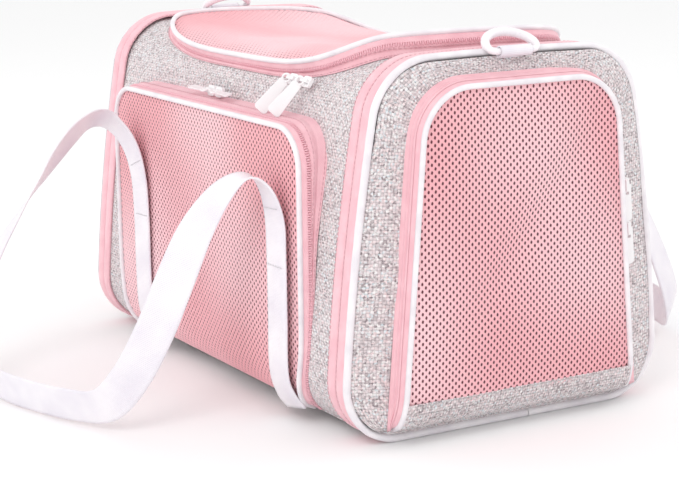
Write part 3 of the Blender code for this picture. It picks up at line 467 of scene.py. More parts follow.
def rounded_polygon(corners, steps):
    """Points round a polygon whose corners are (u, v, radius), in the order given."""
    points = []
    for i, (u, v, radius) in enumerate(corners):
        here = np.array([u, v])
        back = unit(np.array(corners[i - 1][:2]) - here)
        on = unit(np.array(corners[(i + 1) % len(corners)][:2]) - here)
        half = math.acos(float(np.clip(back @ on, -1, 1))) / 2
        centre = here + unit(back + on) * radius / math.sin(half)
        first = here + back * radius / math.tan(half) - centre
        last = here + on * radius / math.tan(half) - centre
        start = math.atan2(first[1], first[0])
        turn = (math.atan2(last[1], last[0]) - start + math.pi) % (2 * math.pi) - math.pi
        for k in range(steps + 1):
            angle = start + turn * k / steps
            points.append(centre + radius * np.array([math.cos(angle), math.sin(angle)]))
    return np.array(points)


def hoop_outline(offset=0.0, spacing=FINE):
    """The hoop in the (y, z) plane, moved outwards by offset; it runs front, top, back, bottom."""
    corners = [(-HOOP_BASE_HALF, 0.0, HOOP_BASE_RADIUS), (-HOOP_TOP_HALF, HOOP_HEIGHT, HOOP_TOP_RADIUS),
               (HOOP_TOP_HALF, HOOP_HEIGHT, HOOP_TOP_RADIUS), (HOOP_BASE_HALF, 0.0, HOOP_BASE_RADIUS)]
    points = even(rounded_polygon(corners, 40), 1.0, closed=True)
    share = np.clip(points[:, 1] / HOOP_HEIGHT, 0, 1)
    points[:, 0] += np.sign(points[:, 0]) * HOOP_SIDE_BOW * 4 * share * (1 - share)
    lift = np.clip(2 * share - 1, 0, 1) ** 2 * np.clip(1 - (points[:, 0] / HOOP_TOP_HALF) ** 2, 0, 1)
    points[:, 1] += HOOP_TOP_BOW * lift + PIPING_R
    along = unit(np.roll(points, -3, axis=0) - np.roll(points, 3, axis=0))
    normals = np.column_stack([-along[:, 1], along[:, 0]])
    return even(points + normals * offset, spacing, closed=True)


class Around:
    """Half of the hoop's outline by arc length from the top's middle, for both sides of the bag."""

    def __init__(self):
        line = hoop_outline(0.0, 1.0)
        middle = int(np.argmax(line[:, 1] - np.abs(line[:, 0]) * 0.01))
        line = np.roll(line, -middle, axis=0)[:len(line) // 2 + 1]
        line[0, 0] = 0.0
        self.s = lengths_along(line)
        self.y, self.z = line.T
        along = unit(np.gradient(line, axis=0))
        along[0] = (1.0, 0.0)
        self.ny, self.nz = -along[:, 1], along[:, 0]

    def at(self, s):
        """y, z and the outward normal's y and z at arc lengths s, positive towards the back."""
        sign = np.sign(s)
        y, z, ny, nz = (np.interp(np.abs(s), self.s, row) for row in (self.y, self.z, self.ny, self.nz))
        return sign * y, z, sign * ny, nz

    def s_at(self, z):
        """Arc length down to height z, on the sides."""
        start = int(np.argmax(self.y > HOOP_TOP_HALF - 22))
        stop = int(np.argmax(self.z < SEAM_Z - 4))
        return np.interp(-np.asarray(z, float), -self.z[start:stop], self.s[start:stop])


AROUND = Around()


def arch(half_low, half_high, top, radius, spacing, offset):
    """An open outline from the hinge up one side, over the top and down: rows of u, v and outward normal."""
    lean = math.atan2(half_low - half_high, top - HINGE_Z)
    normal = np.array([-math.cos(lean), math.sin(lean)])
    start = np.array([-half_low, HINGE_Z])
    drop = radius * math.tan((math.pi / 2 - lean) / 2)
    shoulder = np.array([-half_high, top]) - drop * np.array([math.sin(lean), math.cos(lean)])
    centre = shoulder - normal * radius
    rows = [(*(start + (shoulder - start) * share), *normal) for share in np.linspace(0, 1, 60)[:-1]]
    for angle in np.linspace(math.atan2(normal[1], normal[0]), math.pi / 2, 30):
        out = np.array([math.cos(angle), math.sin(angle)])
        rows.append((*(centre + out * radius), *out))
    rows = np.array(rows)
    rows = np.vstack([rows, rows[::-1] * np.array([-1, 1, -1, 1])])
    rows[:, :2] += rows[:, 2:] * offset
    return even(np.insert(rows, 2, 0.0, axis=1), spacing)[:, [0, 1, 3, 4]]


def side_arch(offset=0.0, spacing=COARSE):
    """Front door outline in (x, z): upright above the knee, leaning in below it."""
    rows = arch(SIDE_HALF, SIDE_HALF, SIDE_TOP, SIDE_RADIUS, spacing, offset)
    share = np.clip((SIDE_KNEE - rows[:, 1]) / (SIDE_KNEE - HINGE_Z), 0, 1)
    rows[:, 0] -= np.sign(rows[:, 0]) * SIDE_TAPER * share ** 2
    return rows


def end_arch(offset=0.0, spacing=COARSE):
    """End door outline in (y, z)."""
    return arch(END_HALF_BASE, END_HALF_TOP, END_TOP, END_RADIUS, spacing, offset)


def end_half(z):
    """Half the end door's width at height z."""
    return np.interp(z, [HINGE_Z, END_TOP], [END_HALF_BASE, END_HALF_TOP])


def lid_ring(offset=0.0, spacing=COARSE):
    """Lid outline in (x, s): a closed oval with squarer corners at its near end, and its normals."""
    angles = np.linspace(math.pi / 2, math.pi * 5 / 2, 240, endpoint=False)
    cos, sin = np.cos(angles), np.sin(angles)
    power = np.where(cos < 0, 2 / LID_FAR_SQUARE, 2 / LID_NEAR_SQUARE)
    x = np.sign(cos) * np.abs(cos) ** power * LID_HALF_X
    s = np.sign(sin) * np.abs(sin) ** power * LID_HALF_S
    line = even(np.column_stack([x, s, 0 * x]), 1.0, closed=True)[:, :2]
    along = unit(np.roll(line, -4, axis=0) - np.roll(line, 4, axis=0))
    out = np.column_stack([along[:, 1], -along[:, 0]])
    out *= np.sign((out * line).sum(axis=1))[:, None]
    rows = np.column_stack([line + out * offset, 0 * line[:, 0], out])
    return even(rows, spacing, closed=True)[:, [0, 1, 3, 4]]


def signed_distance(points, polygon):
    """Distance of each point to a closed polygon, negative inside, and the nearest point on it."""
    a = polygon
    b = np.roll(polygon, -1, axis=0)
    edge = b - a
    distances = []
    nearest = []
    for part in np.array_split(points, max(1, len(points) // 3000)):
        rel = part[:, None] - a[None]
        t = np.clip((rel * edge).sum(axis=2) / (edge ** 2).sum(axis=1), 0, 1)
        foot = a + edge * t[:, :, None]
        gap = np.linalg.norm(part[:, None] - foot, axis=2)
        best = gap.argmin(axis=1)
        rows = np.arange(len(part))
        crosses = (a[:, 1] > part[:, 1:]) != (b[:, 1] > part[:, 1:])
        with np.errstate(divide="ignore", invalid="ignore"):
            where = a[:, 0] + (part[:, 1:] - a[:, 1]) / edge[:, 1] * edge[:, 0]
        inside = (crosses & (part[:, :1] < where)).sum(axis=1) % 2 == 1
        distances.append(np.where(inside, -gap[rows, best], gap[rows, best]))
        nearest.append(foot[rows, best])
    return np.concatenate(distances), np.concatenate(nearest)


def cast(point, direction, polygon):
    """Where a ray from a point inside a closed polygon first meets it."""
    edge = np.roll(polygon, -1, axis=0) - polygon
    det = direction[0] * -edge[:, 1] + direction[1] * edge[:, 0]
    rel = polygon - point
    with np.errstate(divide="ignore", invalid="ignore"):
        t = (rel[:, 0] * -edge[:, 1] + rel[:, 1] * edge[:, 0]) / det
        u = (direction[0] * rel[:, 1] - direction[1] * rel[:, 0]) / det
    good = (t > 0) & (u >= -1e-9) & (u <= 1 + 1e-9)
    return point + direction * t[good].min()


# Cloth surfaces

def ripple(a, b, size, seed):
    """Soft uneven folds, about plus or minus size, over two lengths."""
    source = random.Random(seed)
    total = 0.0
    for _ in range(6):
        angle = source.uniform(0, math.pi)
        wave = source.uniform(70, 190)
        phase = source.uniform(0, 2 * math.pi)
        total = total + np.sin((a * math.cos(angle) + b * math.sin(angle)) * 2 * math.pi / wave + phase)
    return total * size / 3


def top_sag(x, s):
    """The smooth part of the wrap's sag: deepest behind the top's middle."""
    share = np.clip(1 - np.abs(x / WRAP_X) ** 3, 0, 1) * (1 - 0.3 * x / WRAP_X)
    around = np.interp(s, [-165, -130, -95, -40, 20, 80, 110, 165], [0, 0.14, 0.35, 0.7, 0.95, 1, 0.8, 0])
    return TOP_SAG * share * around


def wrap_sag(x, s):
    """How far the wrap hangs inside the hoops' line."""
    return top_sag(x, s) + ripple(x, s, 0.8, 5) * np.clip((WRAP_X - np.abs(x)) / 30, 0, 1)


def side_wrap_depth(x, z):
    """How far out the wrap is at (x, z) on either side of the bag."""
    s = AROUND.s_at(z)
    y, _, ny, _ = AROUND.at(s)
    return y + ny * -wrap_sag(x, s)


def lid_height(x, s):
    """How far the lid's edge stands over the hoops' line: it follows the wrap, held up at its near end."""
    near = np.clip((x - 60) / 120, 0, 1)
    return LID_PROUD - top_sag(x, s) + LID_NEAR_LIFT * near * near


def knee_depth(z, plane, hinge):
    """Depth of a door at height z: its plane above the knee, and turning under to the hinge below."""
    share = np.clip((FLOOR_KNEE - z) / (FLOOR_KNEE - HINGE_Z), 0, 1)
    return plane - (plane - hinge) * (1 - np.sqrt(1 - share ** 2))


def front_plane(u, v):
    return knee_depth(v, SIDE_PLANE, SIDE_HINGE)


def end_plane(u, v):
    return knee_depth(v, END_PLANE, END_HINGE)


def side_wrap(u, v):
    return side_wrap_depth(u, np.maximum(v, SEAM_Z))


def end_panel_depth(y, z):
    """How far out the end panel is: it swells from the hoop towards the door."""
    gap, _ = signed_distance(np.column_stack([y, z]), end_arch(OPENING_GAP, 8.0)[:, :2])
    share = np.clip(1 - gap / END_PANEL_SWELL, 0, 1)
    return HOOP_X + END_PANEL_BOW * share * share * (3 - 2 * share)


def front_point(u, v, depth):
    return np.column_stack([u, -depth, v])


def back_point(u, v, depth):
    return np.column_stack([u, depth, v])


def end_point(u, v, depth):
    return np.column_stack([depth, u, v])


def wrap_point(x, s, depth):
    """A point at arc length s round the hoops' line, depth outside it."""
    y, z, ny, nz = AROUND.at(s)
    return np.column_stack([x + 0 * s, y + ny * depth, z + nz * depth])


# Making pieces

def add_piece(name, points, faces, look, body, cloth, replaces=(), slot=None, thickness=0.0):
    """A smooth-shaded mesh piece from points in millimetres, which rides on a body if it has one."""
    mesh = bpy.data.meshes.new(name)
    mesh.from_pydata((np.asarray(points, float) * MM).tolist(), [], [list(map(int, face)) for face in faces])
    held = mesh.attributes.new("cloth", "FLOAT_VECTOR", "POINT")
    if cloth.shape[1] == 2:
        cloth = np.column_stack([cloth, np.zeros(len(cloth))])
    held.data.foreach_set("vector", cloth.astype(np.float32).ravel())
    mesh.shade_smooth()
    mesh.materials.append(LOOKS[look].material)
    piece = bpy.data.objects.new(name, mesh)
    bpy.context.scene.collection.objects.link(piece)
    if thickness:
        solid = piece.modifiers.new("thickness", "SOLIDIFY")
        solid.thickness = thickness * MM
        solid.offset = 0.0
    if body:
        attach(piece, body)
    if replaces:
        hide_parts(*replaces)
    slot or look
    return piece


def grid_faces(rows, columns, closed_rows=False, closed_columns=False):
    faces = []
    for i in range(rows if closed_rows else rows - 1):
        for j in range(columns if closed_columns else columns - 1):
            here, on = i * columns, (i + 1) % rows * columns
            j2 = (j + 1) % columns
            faces.append((here + j, here + j2, on + j2, on + j))
    return faces


def cord_faces(rows, columns, closed):
    """Faces of a grid whose rows are rings, with closed ends unless the last ring joins the first."""
    faces = grid_faces(rows, columns, closed, True)
    if not closed:
        faces.append(tuple(range(columns))[::-1])
        faces.append(tuple((rows - 1) * columns + j for j in range(columns)))
    return faces


def grid_cloth(grid):
    """Cloth coordinates of a grid: lengths along its columns and across its rows."""
    along = np.linalg.norm(np.diff(grid, axis=0), axis=2).mean(axis=1)
    across = np.linalg.norm(np.diff(grid, axis=1), axis=2).mean(axis=0)
    u = np.concatenate([[0], np.cumsum(along)])
    v = np.concatenate([[0], np.cumsum(across)])
    return np.column_stack([np.repeat(u, len(v)), np.tile(v, len(u))])


def grid_piece(name, grid, look, body, closed_rows=False, flip=False, **extra):
    rows, columns, _ = grid.shape
    faces = grid_faces(rows, columns, closed_rows)
    if flip:
        faces = [face[::-1] for face in faces]
    return add_piece(name, grid.reshape(-1, 3), faces, look, body, grid_cloth(grid), **extra)


def frames(path, closed, side):
    """Two unit vectors across a path at each point; side is near the second."""
    if closed:
        along = np.roll(path, -1, axis=0) - np.roll(path, 1, axis=0)
    else:
        along = np.gradient(path, axis=0)
    along = unit(along)
    side = np.broadcast_to(np.asarray(side, float), path.shape)
    second = unit(side - (side * along).sum(axis=1)[:, None] * along)
    return np.cross(second, along), second


def tube_mesh(path, radius, sides, closed=False, side=(1, 0, 0)):
    """Points, faces and cloth coordinates of a round cord along a path."""
    first, second = frames(path, closed, side)
    angles = np.linspace(0, 2 * math.pi, sides, endpoint=False)
    ring = first[:, None] * np.cos(angles)[None, :, None] + second[:, None] * np.sin(angles)[None, :, None]
    size = np.broadcast_to(np.asarray(radius, float), (len(path),))
    grid = path[:, None] + ring * size[:, None, None]
    cloth = np.column_stack([np.repeat(lengths_along(path), sides), np.tile(angles * float(size.mean()), len(path))])
    return grid.reshape(-1, 3), cord_faces(len(path), sides, closed), cloth


def tube_piece(name, path, radius, look, body, closed=False, side=(1, 0, 0), sides=14, **extra):
    points, faces, cloth = tube_mesh(path, radius, sides, closed, side)
    return add_piece(name, points, faces, look, body, cloth, **extra)


def joined(parts):
    """One set of points, faces and cloth coordinates from several."""
    faces = []
    base = 0
    for points, part_faces, _ in parts:
        faces += [tuple(k + base for k in face) for face in part_faces]
        base += len(points)
    return np.vstack([part[0] for part in parts]), faces, np.vstack([part[2] for part in parts])


def stitch_row(path, out, length=2.6, pitch=3.6, radius=0.28):
    """Stitches laid end to end along a path, each a short thread that dips at both ends."""
    both = even(np.hstack([path, np.broadcast_to(np.asarray(out, float), path.shape)]), pitch)
    ways = unit(np.gradient(both[:, :3], axis=0))
    parts = []
    for row, way in zip(both[:-1], ways):
        up = unit(row[3:6])
        line = np.array([row[:3] + way * a * length + up * b
                         for a, b in ((-0.5, -0.3), (-0.3, 0.15), (0.3, 0.15), (0.5, -0.3))])
        parts.append(tube_mesh(line, [radius * c for c in (0.5, 1.0, 1.0, 0.5)], 5, side=up))
    return joined(parts)


def add_stitches(name, rows, look, body, slot):
    points, faces, cloth = joined([stitch_row(*row) for row in rows])
    return add_piece(name, points, faces, look, body, cloth, slot=slot)


def mesh_panel(kind, polygon, place, body):
    """Spacer mesh inside a closed outline: a staggered lattice of oval pits with sunk rims, and floors coloured near
    black as painted shade.

    place maps (u, v, lift) to points. Points past the outline are drawn back to its edge.
    """
    half = HOLE_PITCH / 2
    low = np.floor(polygon.min(axis=0) / half).astype(int) - 2
    high = np.ceil(polygon.max(axis=0) / half).astype(int) + 2
    ij = np.array([(i, j) for i in range(low[0], high[0]) for j in range(low[1], high[1]) if (i + j) % 2 == 0])
    gap, _ = signed_distance(ij * half, polygon)
    index = {}
    points = []
    lift = []
    faces = []
    for i, j in ij[gap < MESH_MARGIN]:
        outer = []
        for a, b in ((2, 0), (1, 1), (0, 2), (-1, 1), (-2, 0), (-1, -1), (0, -2), (1, -1)):
            key = (2 * i + a, 2 * j + b)
            if key not in index:
                index[key] = len(points)
                points.append((key[0] * half / 2, key[1] * half / 2))
                lift.append(0.0)
            outer.append(index[key])
        first = len(points)
        for k in range(8):
            angle = 2 * math.pi * k / 8
            points.append((i * half + HOLE_HALF_WIDTH * math.cos(angle),
                           j * half + HOLE_HALF_HEIGHT * math.sin(angle)))
            lift.append(-HOLE_DEPTH)
        for k in range(8):
            k2 = (k + 1) % 8
            faces.append((outer[k], outer[k2], first + k2, first + k))
        faces.append(tuple(range(first, first + 8)))
    points = np.array(points)
    gap, foot = signed_distance(points, polygon)
    past = gap > MESH_GROW
    points[past] = foot[past] + (points[past] - foot[past]) * (MESH_GROW / gap[past])[:, None]
    lift = np.array(lift)
    # The third cloth value marks the hole floors, which mesh_look fills with painted shade.
    piece = add_piece(f"{kind}_punched_mesh", place(points[:, 0], points[:, 1], lift), faces, "pink_mesh", body,
                      np.column_stack([points, lift < 0]), replaces=(f"{kind}_mesh",))


# Doors

def between(grid, at):
    """The point at a fractional column of each row, and the step between the columns beside it."""
    i = np.minimum(at.astype(int), grid.shape[1] - 2)
    rows = np.arange(len(grid))
    step = grid[rows, i + 1] - grid[rows, i]
    return grid[rows, i] + step * (at - i)[:, None], step


def band_grid(outline, place, plane, wrap, reach):
    """A grid round a door from its piping, over the bulging gusset, to the tape on the panel.

    plane and wrap give the depth of the piping and of the panel at each (u, v). Columns are evenly
    spaced across; the second value returned is each column's distance from the piping.
    """
    u, v, nu, nv = outline.T
    top = plane(u, v)
    run = np.maximum(top - wrap(u + nu * OPENING_GAP, v + nv * OPENING_GAP), 1.5)
    columns = []
    for offset, share, lift in ((0.6, 0.0, -0.6), (1.62, 0.10, -1.0), (2.79, 0.30, -0.6), (3.42, 0.56, 0.0),
                                (3.69, 0.80, 0.8), (4.8, 1.0, 1.4), (reach, 1.0, 0.7)):
        qu = u + nu * offset
        qv = v + nv * offset
        base = wrap(qu, qv) if share == 1.0 else top - run * share
        columns.append(place(qu, qv, base + lift))
    rows = []
    for row in np.stack(columns, axis=1):
        dense = curve(row, 4)
        lengths = lengths_along(dense)
        rows.append(read_off(dense, lengths, np.linspace(0, lengths[-1], BAND_COLUMNS)))
    grid = np.array(rows)
    widths = np.linalg.norm(np.diff(grid, axis=1), axis=2)
    return grid, np.column_stack([np.zeros(len(grid)), np.cumsum(widths, axis=1)])


def across_at(grid, spread, distance):
    """The point of each row at a distance across from the piping, and its across direction."""
    at = [np.interp(min(distance, row[-1] - 0.1), row, np.arange(BAND_COLUMNS)) for row in spread]
    return between(grid, np.array(at))


def teeth(grid, spread, closed, way):
    """Zip teeth: two rows of short bars that meet along the coil's line."""
    points, across = across_at(grid, spread, COIL_AT)
    across = unit(across)
    normals = unit(np.cross(unit(np.gradient(points, axis=0)), across))
    rows = even(np.hstack([points, across, normals]), TOOTH_PITCH, closed)
    along = unit(np.gradient(rows[:, :3], axis=0))
    parts = []
    for k, row in enumerate(rows):
        cross = unit(row[3:6])
        up = way * unit(row[6:9])
        shift = 0.25 if k % 2 else -0.25
        line = np.array([row[:3] + cross * (a * COIL_WIDTH + shift) + up * (b + 0.35)
                         for a, b in ((-0.45, -0.25), (-0.36, 0.25), (0.36, 0.25), (0.45, -0.25))])
        parts.append(tube_mesh(line, [0.62 * c for c in (0.5, 0.9, 0.9, 0.5)], 5, side=along[k]))
    return joined(parts)


def make_rim(kind, outline, place, plane, wrap, way, side, reach, closed=False):
    """A door's gusset, zip and piping: the gusset and piping go with the door, the coil and tape stay."""
    body = f"{kind}_door"
    grid, spread = band_grid(outline, place, plane, wrap, reach)
    strip = [across_at(grid, spread, distance)[0] for distance in np.linspace(0.0, COIL_AT - 1.0, 7)]
    grid_piece(f"{kind}_door_gusset_strip", np.stack(strip, axis=1), "pink_tape", body, closed_rows=closed,
               flip=way < 0, replaces=(f"{kind}_door_gusset",), thickness=TAPE_THICKNESS)
    full = float(spread[:, -1].mean())
    start = COIL_AT - 1.2
    columns = []
    heights = []
    for share in np.linspace(0, 1, BAND_COLUMNS):
        at = [np.interp(start + (row[-1] - start) * share, row, np.arange(BAND_COLUMNS)) for row in spread]
        columns.append(between(grid, np.array(at))[0])
        distance = start + (full - start) * share
        fold = math.exp(-((distance - full * 0.52) / 1.0) ** 2) * 0.7
        gutter = -0.75 * math.exp(-((distance - COIL_AT) / 1.6) ** 2)
        seam = -0.5 * math.exp(-((distance - full * 0.66) / 0.7) ** 2)
        heights.append(way * (fold + gutter + seam))
    band = np.stack(columns, axis=1)
    normals = unit(np.cross(np.gradient(band, axis=0), np.gradient(band, axis=1)))
    band = band + normals * np.array(heights)[None, :, None]
    grid_piece(f"{kind}_zip_band", band, "pink_tape", "bag", closed_rows=closed, flip=way < 0,
               replaces=(f"{kind}_zip_tape",), thickness=TAPE_THICKNESS)
    points, faces, cloth = teeth(grid, spread, closed, way)
    add_piece(f"{kind}_zip_teeth", points, faces, "pink_coil", "bag", cloth, slot="pink_tape")
    rows = [(band[:, column] + normals[:, column] * way * 0.5, normals[:, column] * way) for column in (-4, 8)]
    add_stitches(f"{kind}_zip_stitches", rows, "pink_thread", "bag", "pink_tape")
    u, v = outline[:, 0], outline[:, 1]
    tube_piece(f"{kind}_door_edge_piping", place(u, v, plane(u, v) + 0.4), DOOR_PIPING_R, "white_piping", body,
               closed=closed, side=side, replaces=(f"{kind}_door_piping",))


def make_front_door():
    make_rim("front", side_arch(), front_point, front_plane, side_wrap, 1.0, (0, 1, 0), reach=6.4)

    def place(u, v, lift):
        across = np.clip(np.abs(u) / SIDE_HALF, 0, 1)
        up = np.clip((v - HINGE_Z) / (SIDE_TOP - HINGE_Z), 0, 1)
        full = (1 - across ** 8) * np.clip(4 * up, 0, 1) * (1 - up ** 6)
        depth = front_plane(u, v) + 2.6 * full + ripple(u, v, 1.1, 11) * full
        return front_point(u, v, depth + lift - 0.4)

    mesh_panel("front_door", side_arch(-1.0, FINE)[:, :2], place, "front_door")


def make_end_door():
    outline = end_arch()
    wide = np.clip((outline[:, 0] - 30) / 40, 0, 1)
    reach = 6.4 + 6.6 * wide * wide * (3 - 2 * wide)
    make_rim("end", outline, end_point, end_plane, end_panel_depth, -1.0, (1, 0, 0), reach)
    high = float(span("end_door_mesh", 2)[1])

    def place(u, v, lift):
        up = np.clip((v - KICK_TOP) / (high - KICK_TOP), 0, 1)
        full = (1 - np.clip(np.abs(u / end_half(v)), 0, 1) ** 6) * (1 - up ** 8)
        crease = np.exp(-((u * 0.77 - (v - 180) * 0.64 - 30) / 15.0) ** 2)
        swell = np.exp(-((u * 0.90 - (v - 150) * 0.43 + 10) / 24.0) ** 2)
        bulge = 3.0 * full + (1.6 * swell - 3.4 * crease) * full * np.clip((v - 60) / 60, 0, 1)
        depth = end_plane(u, v) + bulge + ripple(u, v, 0.8, 23) * full
        return end_point(u, v, depth + lift - 0.4)

    ring = end_arch(-1.0, FINE)[:, :2]
    foot = KICK_TOP - 1.0
    half = float(end_half(foot)) - 1.0
    polygon = np.vstack([[(-half, foot)], ring[ring[:, 1] > foot], [(half, foot)]])
    mesh_panel("end_door", polygon, place, "end_door")

    # The kick strip is a band of the bag's cloth with three rows of stitches
    grid = []
    for v in np.linspace(HINGE_Z - 0.3, KICK_TOP + 2.0, 16):
        u = np.linspace(-1, 1, 90) * (float(end_half(v)) - 1.0)
        depth = end_plane(u, np.maximum(v, HINGE_Z)) + 1.6 + ripple(u, v, 0.3, 4)
        grid.append(end_point(u, v + 0 * u, depth))
    grid = np.array(grid)
    grid_piece("end_door_kick_band", grid, "glitter_fabric", "end_door", replaces=("end_door_kick_strip",),
               thickness=1.4)
    rows = [(grid[row][3:-3] + np.array([0.9, 0, 0]), (1, 0, 0)) for row in (5, 9, 14)]
    add_stitches("end_door_kick_stitches", rows, "grey_thread", "end_door", "glitter_fabric")


def make_lid():
    make_rim("top", lid_ring(), wrap_point, lid_height, lambda u, v: -wrap_sag(u, v), -1.0, (0, 0, 1), reach=8.0,
             closed=True)

    def place(u, v, lift):
        across = np.clip(np.abs(u) / LID_HALF_X, 0, 1)
        up = np.clip(np.abs(v) / LID_HALF_S, 0, 1)
        full = (1 - across ** 3) * (1 - up ** 4)
        depth = lid_height(u, v) - 4.5 * full + ripple(u, v, 1.4, 31) * full
        return wrap_point(u, v, depth + lift - 0.3)

    mesh_panel("top_door", lid_ring(-1.0, FINE)[:, :2], place, "top_door")


def make_lid_hinge():
    """The strip of tape that the lid stays sewn to, from the wrap behind it to the lid's back edge."""
    x = np.linspace(-118, 118, 60)
    bag_s = 0 * x + LID_HALF_S + 7.5
    lid_s = 0 * x + LID_HALF_S - 1.0
    low = wrap_point(x, bag_s, 0.4 - wrap_sag(x, bag_s))
    high = wrap_point(x, lid_s, lid_height(x, lid_s) - 0.4)
    grid = np.array([low + (high - low) * share for share in np.linspace(0, 1, 12)])
    strip = grid_piece("top_door_hinge_tape", grid, "pink_tape", None, thickness=TAPE_THICKNESS)
    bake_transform(strip)


def make_windows():
    """Sewn mesh windows on the back and on the far end, each with its piping and a sewn tape."""
    base = HOOP_X + END_PANEL_BOW * 0.8

    def back_place(u, v, lift):
        return back_point(u, v, side_wrap(u, v) + 0.4 + lift)

    def far_place(u, v, lift):
        full = (1 - np.clip(np.abs(u) / END_HALF_BASE, 0, 1) ** 4) * np.clip((END_TOP - v) / 60, 0, 1)
        return end_point(u, v, -(base + lift + ripple(u, v, 0.9, 41) * full))

    u, v = side_arch()[:, :2].T
    tube_piece("back_window_edge_piping", back_point(u, v, side_wrap(u, v) + 1.2), DOOR_PIPING_R, "white_piping",
               "bag", side=(0, 1, 0), replaces=("back_window_piping",))
    mesh_panel("back_window", side_arch(-1.0, FINE)[:, :2], back_place, "bag")
    u, v = end_arch()[:, :2].T
    tube_piece("far_window_edge_piping", end_point(u, v, 0 * u - (base + 0.6)), DOOR_PIPING_R, "white_piping",
               "bag", side=(1, 0, 0), replaces=("far_window_piping",))
    mesh_panel("far_window", end_arch(-1.0, FINE)[:, :2], far_place, "bag")
    rows = []
    for name, sign, out, source, place, wrap in (
            ("back_window_tape", 1, (0, 1, 0), side_arch, back_point, side_wrap),
            ("far_window_tape", -1, (-1, 0, 0), end_arch, end_point, end_panel_depth)):
        grid = []
        for offset, lift in ((1.5, 0.9), (4.0, 1.1), (6.5, 1.1), (9.0, 0.8)):
            line = even(source(offset)[:, :2], COARSE)
            u, v = read_off(line, np.arange(len(line)), np.linspace(0, len(line) - 1, 150)).T
            grid.append(place(u, v, sign * (wrap(u, v) + lift)))
        grid = np.stack(grid, axis=1)
        grid_piece(name, grid, "pink_tape", "bag", thickness=0.8)
        rows.append((grid[:, 2] + np.array(out) * 0.6, out))
    add_stitches("window_stitches", rows, "pink_thread", "bag", "pink_tape")


# Shell

def opened(flat, faces, polygon):
    """Drop the faces inside a closed outline, and draw the edge left onto that outline."""
    gap, _ = signed_distance(flat[np.array(faces)].mean(axis=1), polygon)
    kept = [face for face, g in zip(faces, gap) if g > 0]
    dropped = {k for face, g in zip(faces, gap) if g <= 0 for k in face}
    edge = np.array(sorted(dropped & {k for face in kept for k in face}))
    _, flat[edge] = signed_distance(flat[edge], polygon)
    return kept


def make_wrap():
    """One continuous cloth from the front seam over the top to the back seam, with its openings."""
    edge_s = float(AROUND.s_at(SEAM_Z - 3.0))
    xs = np.linspace(-WRAP_X, WRAP_X, 150)
    ss = np.linspace(-edge_s, edge_s, 250)
    flat = np.array([(x, s) for s in ss for x in xs])
    faces = grid_faces(len(ss), len(xs))
    side = side_arch(OPENING_GAP + 0.4, FINE)
    for sign in (-1, 1):
        faces = opened(flat, faces, np.column_stack([side[:, 0], sign * AROUND.s_at(side[:, 1])]))
    faces = opened(flat, faces, lid_ring(OPENING_GAP + 0.6, FINE)[:, :2])
    used = sorted({k for face in faces for k in face})
    index = {k: i for i, k in enumerate(used)}
    faces = [tuple(index[k] for k in face) for face in faces]
    flat = flat[used]
    points = wrap_point(flat[:, 0], flat[:, 1], -0.8 - wrap_sag(flat[:, 0], flat[:, 1]))
    piece = add_piece("wrap_cloth", points, faces, "glitter_fabric", "bag", flat,
                      replaces=("front_panel", "back_panel", "top_panel"), thickness=CLOTH_THICKNESS)


def make_base():
    """The base cloth, which rolls up to the side seams, with a stitched seam along each side."""
    outline = hoop_outline(0.3, 2.0)
    low = outline[outline[:, 1] < SEAM_Z + 1.0]
    low = low[np.argsort(low[:, 0])]
    xs = np.linspace(-WRAP_X, WRAP_X, 60)
    grid = np.array([[(x, y, z) for y, z in low] for x in xs])
    sag = np.clip(1 - (np.abs(low[:, 0]) / 90) ** 2, 0, 1) * 1.6
    grid[:, :, 2] -= sag[None] * np.clip((WRAP_X - np.abs(xs)) / 40, 0, 1)[:, None]
    piece = grid_piece("base_cloth", grid, "glitter_fabric", "bag", flip=True, replaces=("base_panel",),
                       thickness=1.2)
    rows = []
    for sign in (-1, 1):
        y = sign * (side_wrap_depth(0.0, SEAM_Z) + 0.6)
        line = [(x, y, SEAM_Z + 0.8) for x in np.linspace(-WRAP_X + 25, WRAP_X - 25, 80)]
        rows.append((np.array(line), (0, sign, 0.2)))
    add_stitches("base_seam_stitches", rows, "grey_thread", "bag", "glitter_fabric")


def make_end_panels():
    """End panels: cloth that swells from the hoop to the door, and one strip under the door."""
    hoop = hoop_outline(-PIPING_R + 0.6)
    low = hoop[hoop[:, 1] < 30]
    low = low[np.argsort(low[:, 1])]
    shares = np.linspace(0, 1, 14)[:, None]
    for name, sign in (("near_end_panel", 1), ("far_end_panel", -1)):
        grid = []
        for row in end_arch(OPENING_GAP + 0.6, FINE):
            inner, normal = row[:2], row[2:]
            grid.append(inner + (cast(inner, normal, hoop) - inner) * shares)
        y, z = np.array(grid).reshape(-1, 2).T
        depth = end_panel_depth(y, z) + ripple(y, z, 0.7, 7 + sign)
        points = end_point(y, z, sign * depth).reshape(len(grid), len(shares), 3)
        piece = grid_piece(name + "_cloth", points, "glitter_fabric", "bag", flip=sign > 0, replaces=(name,),
                           thickness=CLOTH_THICKNESS)
        strip = []
        for height, swell in ((3.4, 0.4), (5.5, 1.6), (7.5, 2.8), (9.5, 3.8), (11.2, 4.2)):
            half = float(np.interp(height, low[:, 1], np.abs(low[:, 0])))
            y = np.linspace(-half, half, 80)
            taper = np.clip((half - np.abs(y)) / (half - END_HALF_BASE + 1), 0, 1)
            strip.append(end_point(y, height + 0 * y, sign * (HOOP_X + swell * taper)))
        grid_piece(name + "_foot", np.array(strip), "glitter_fabric", "bag", flip=sign < 0, thickness=1.2)


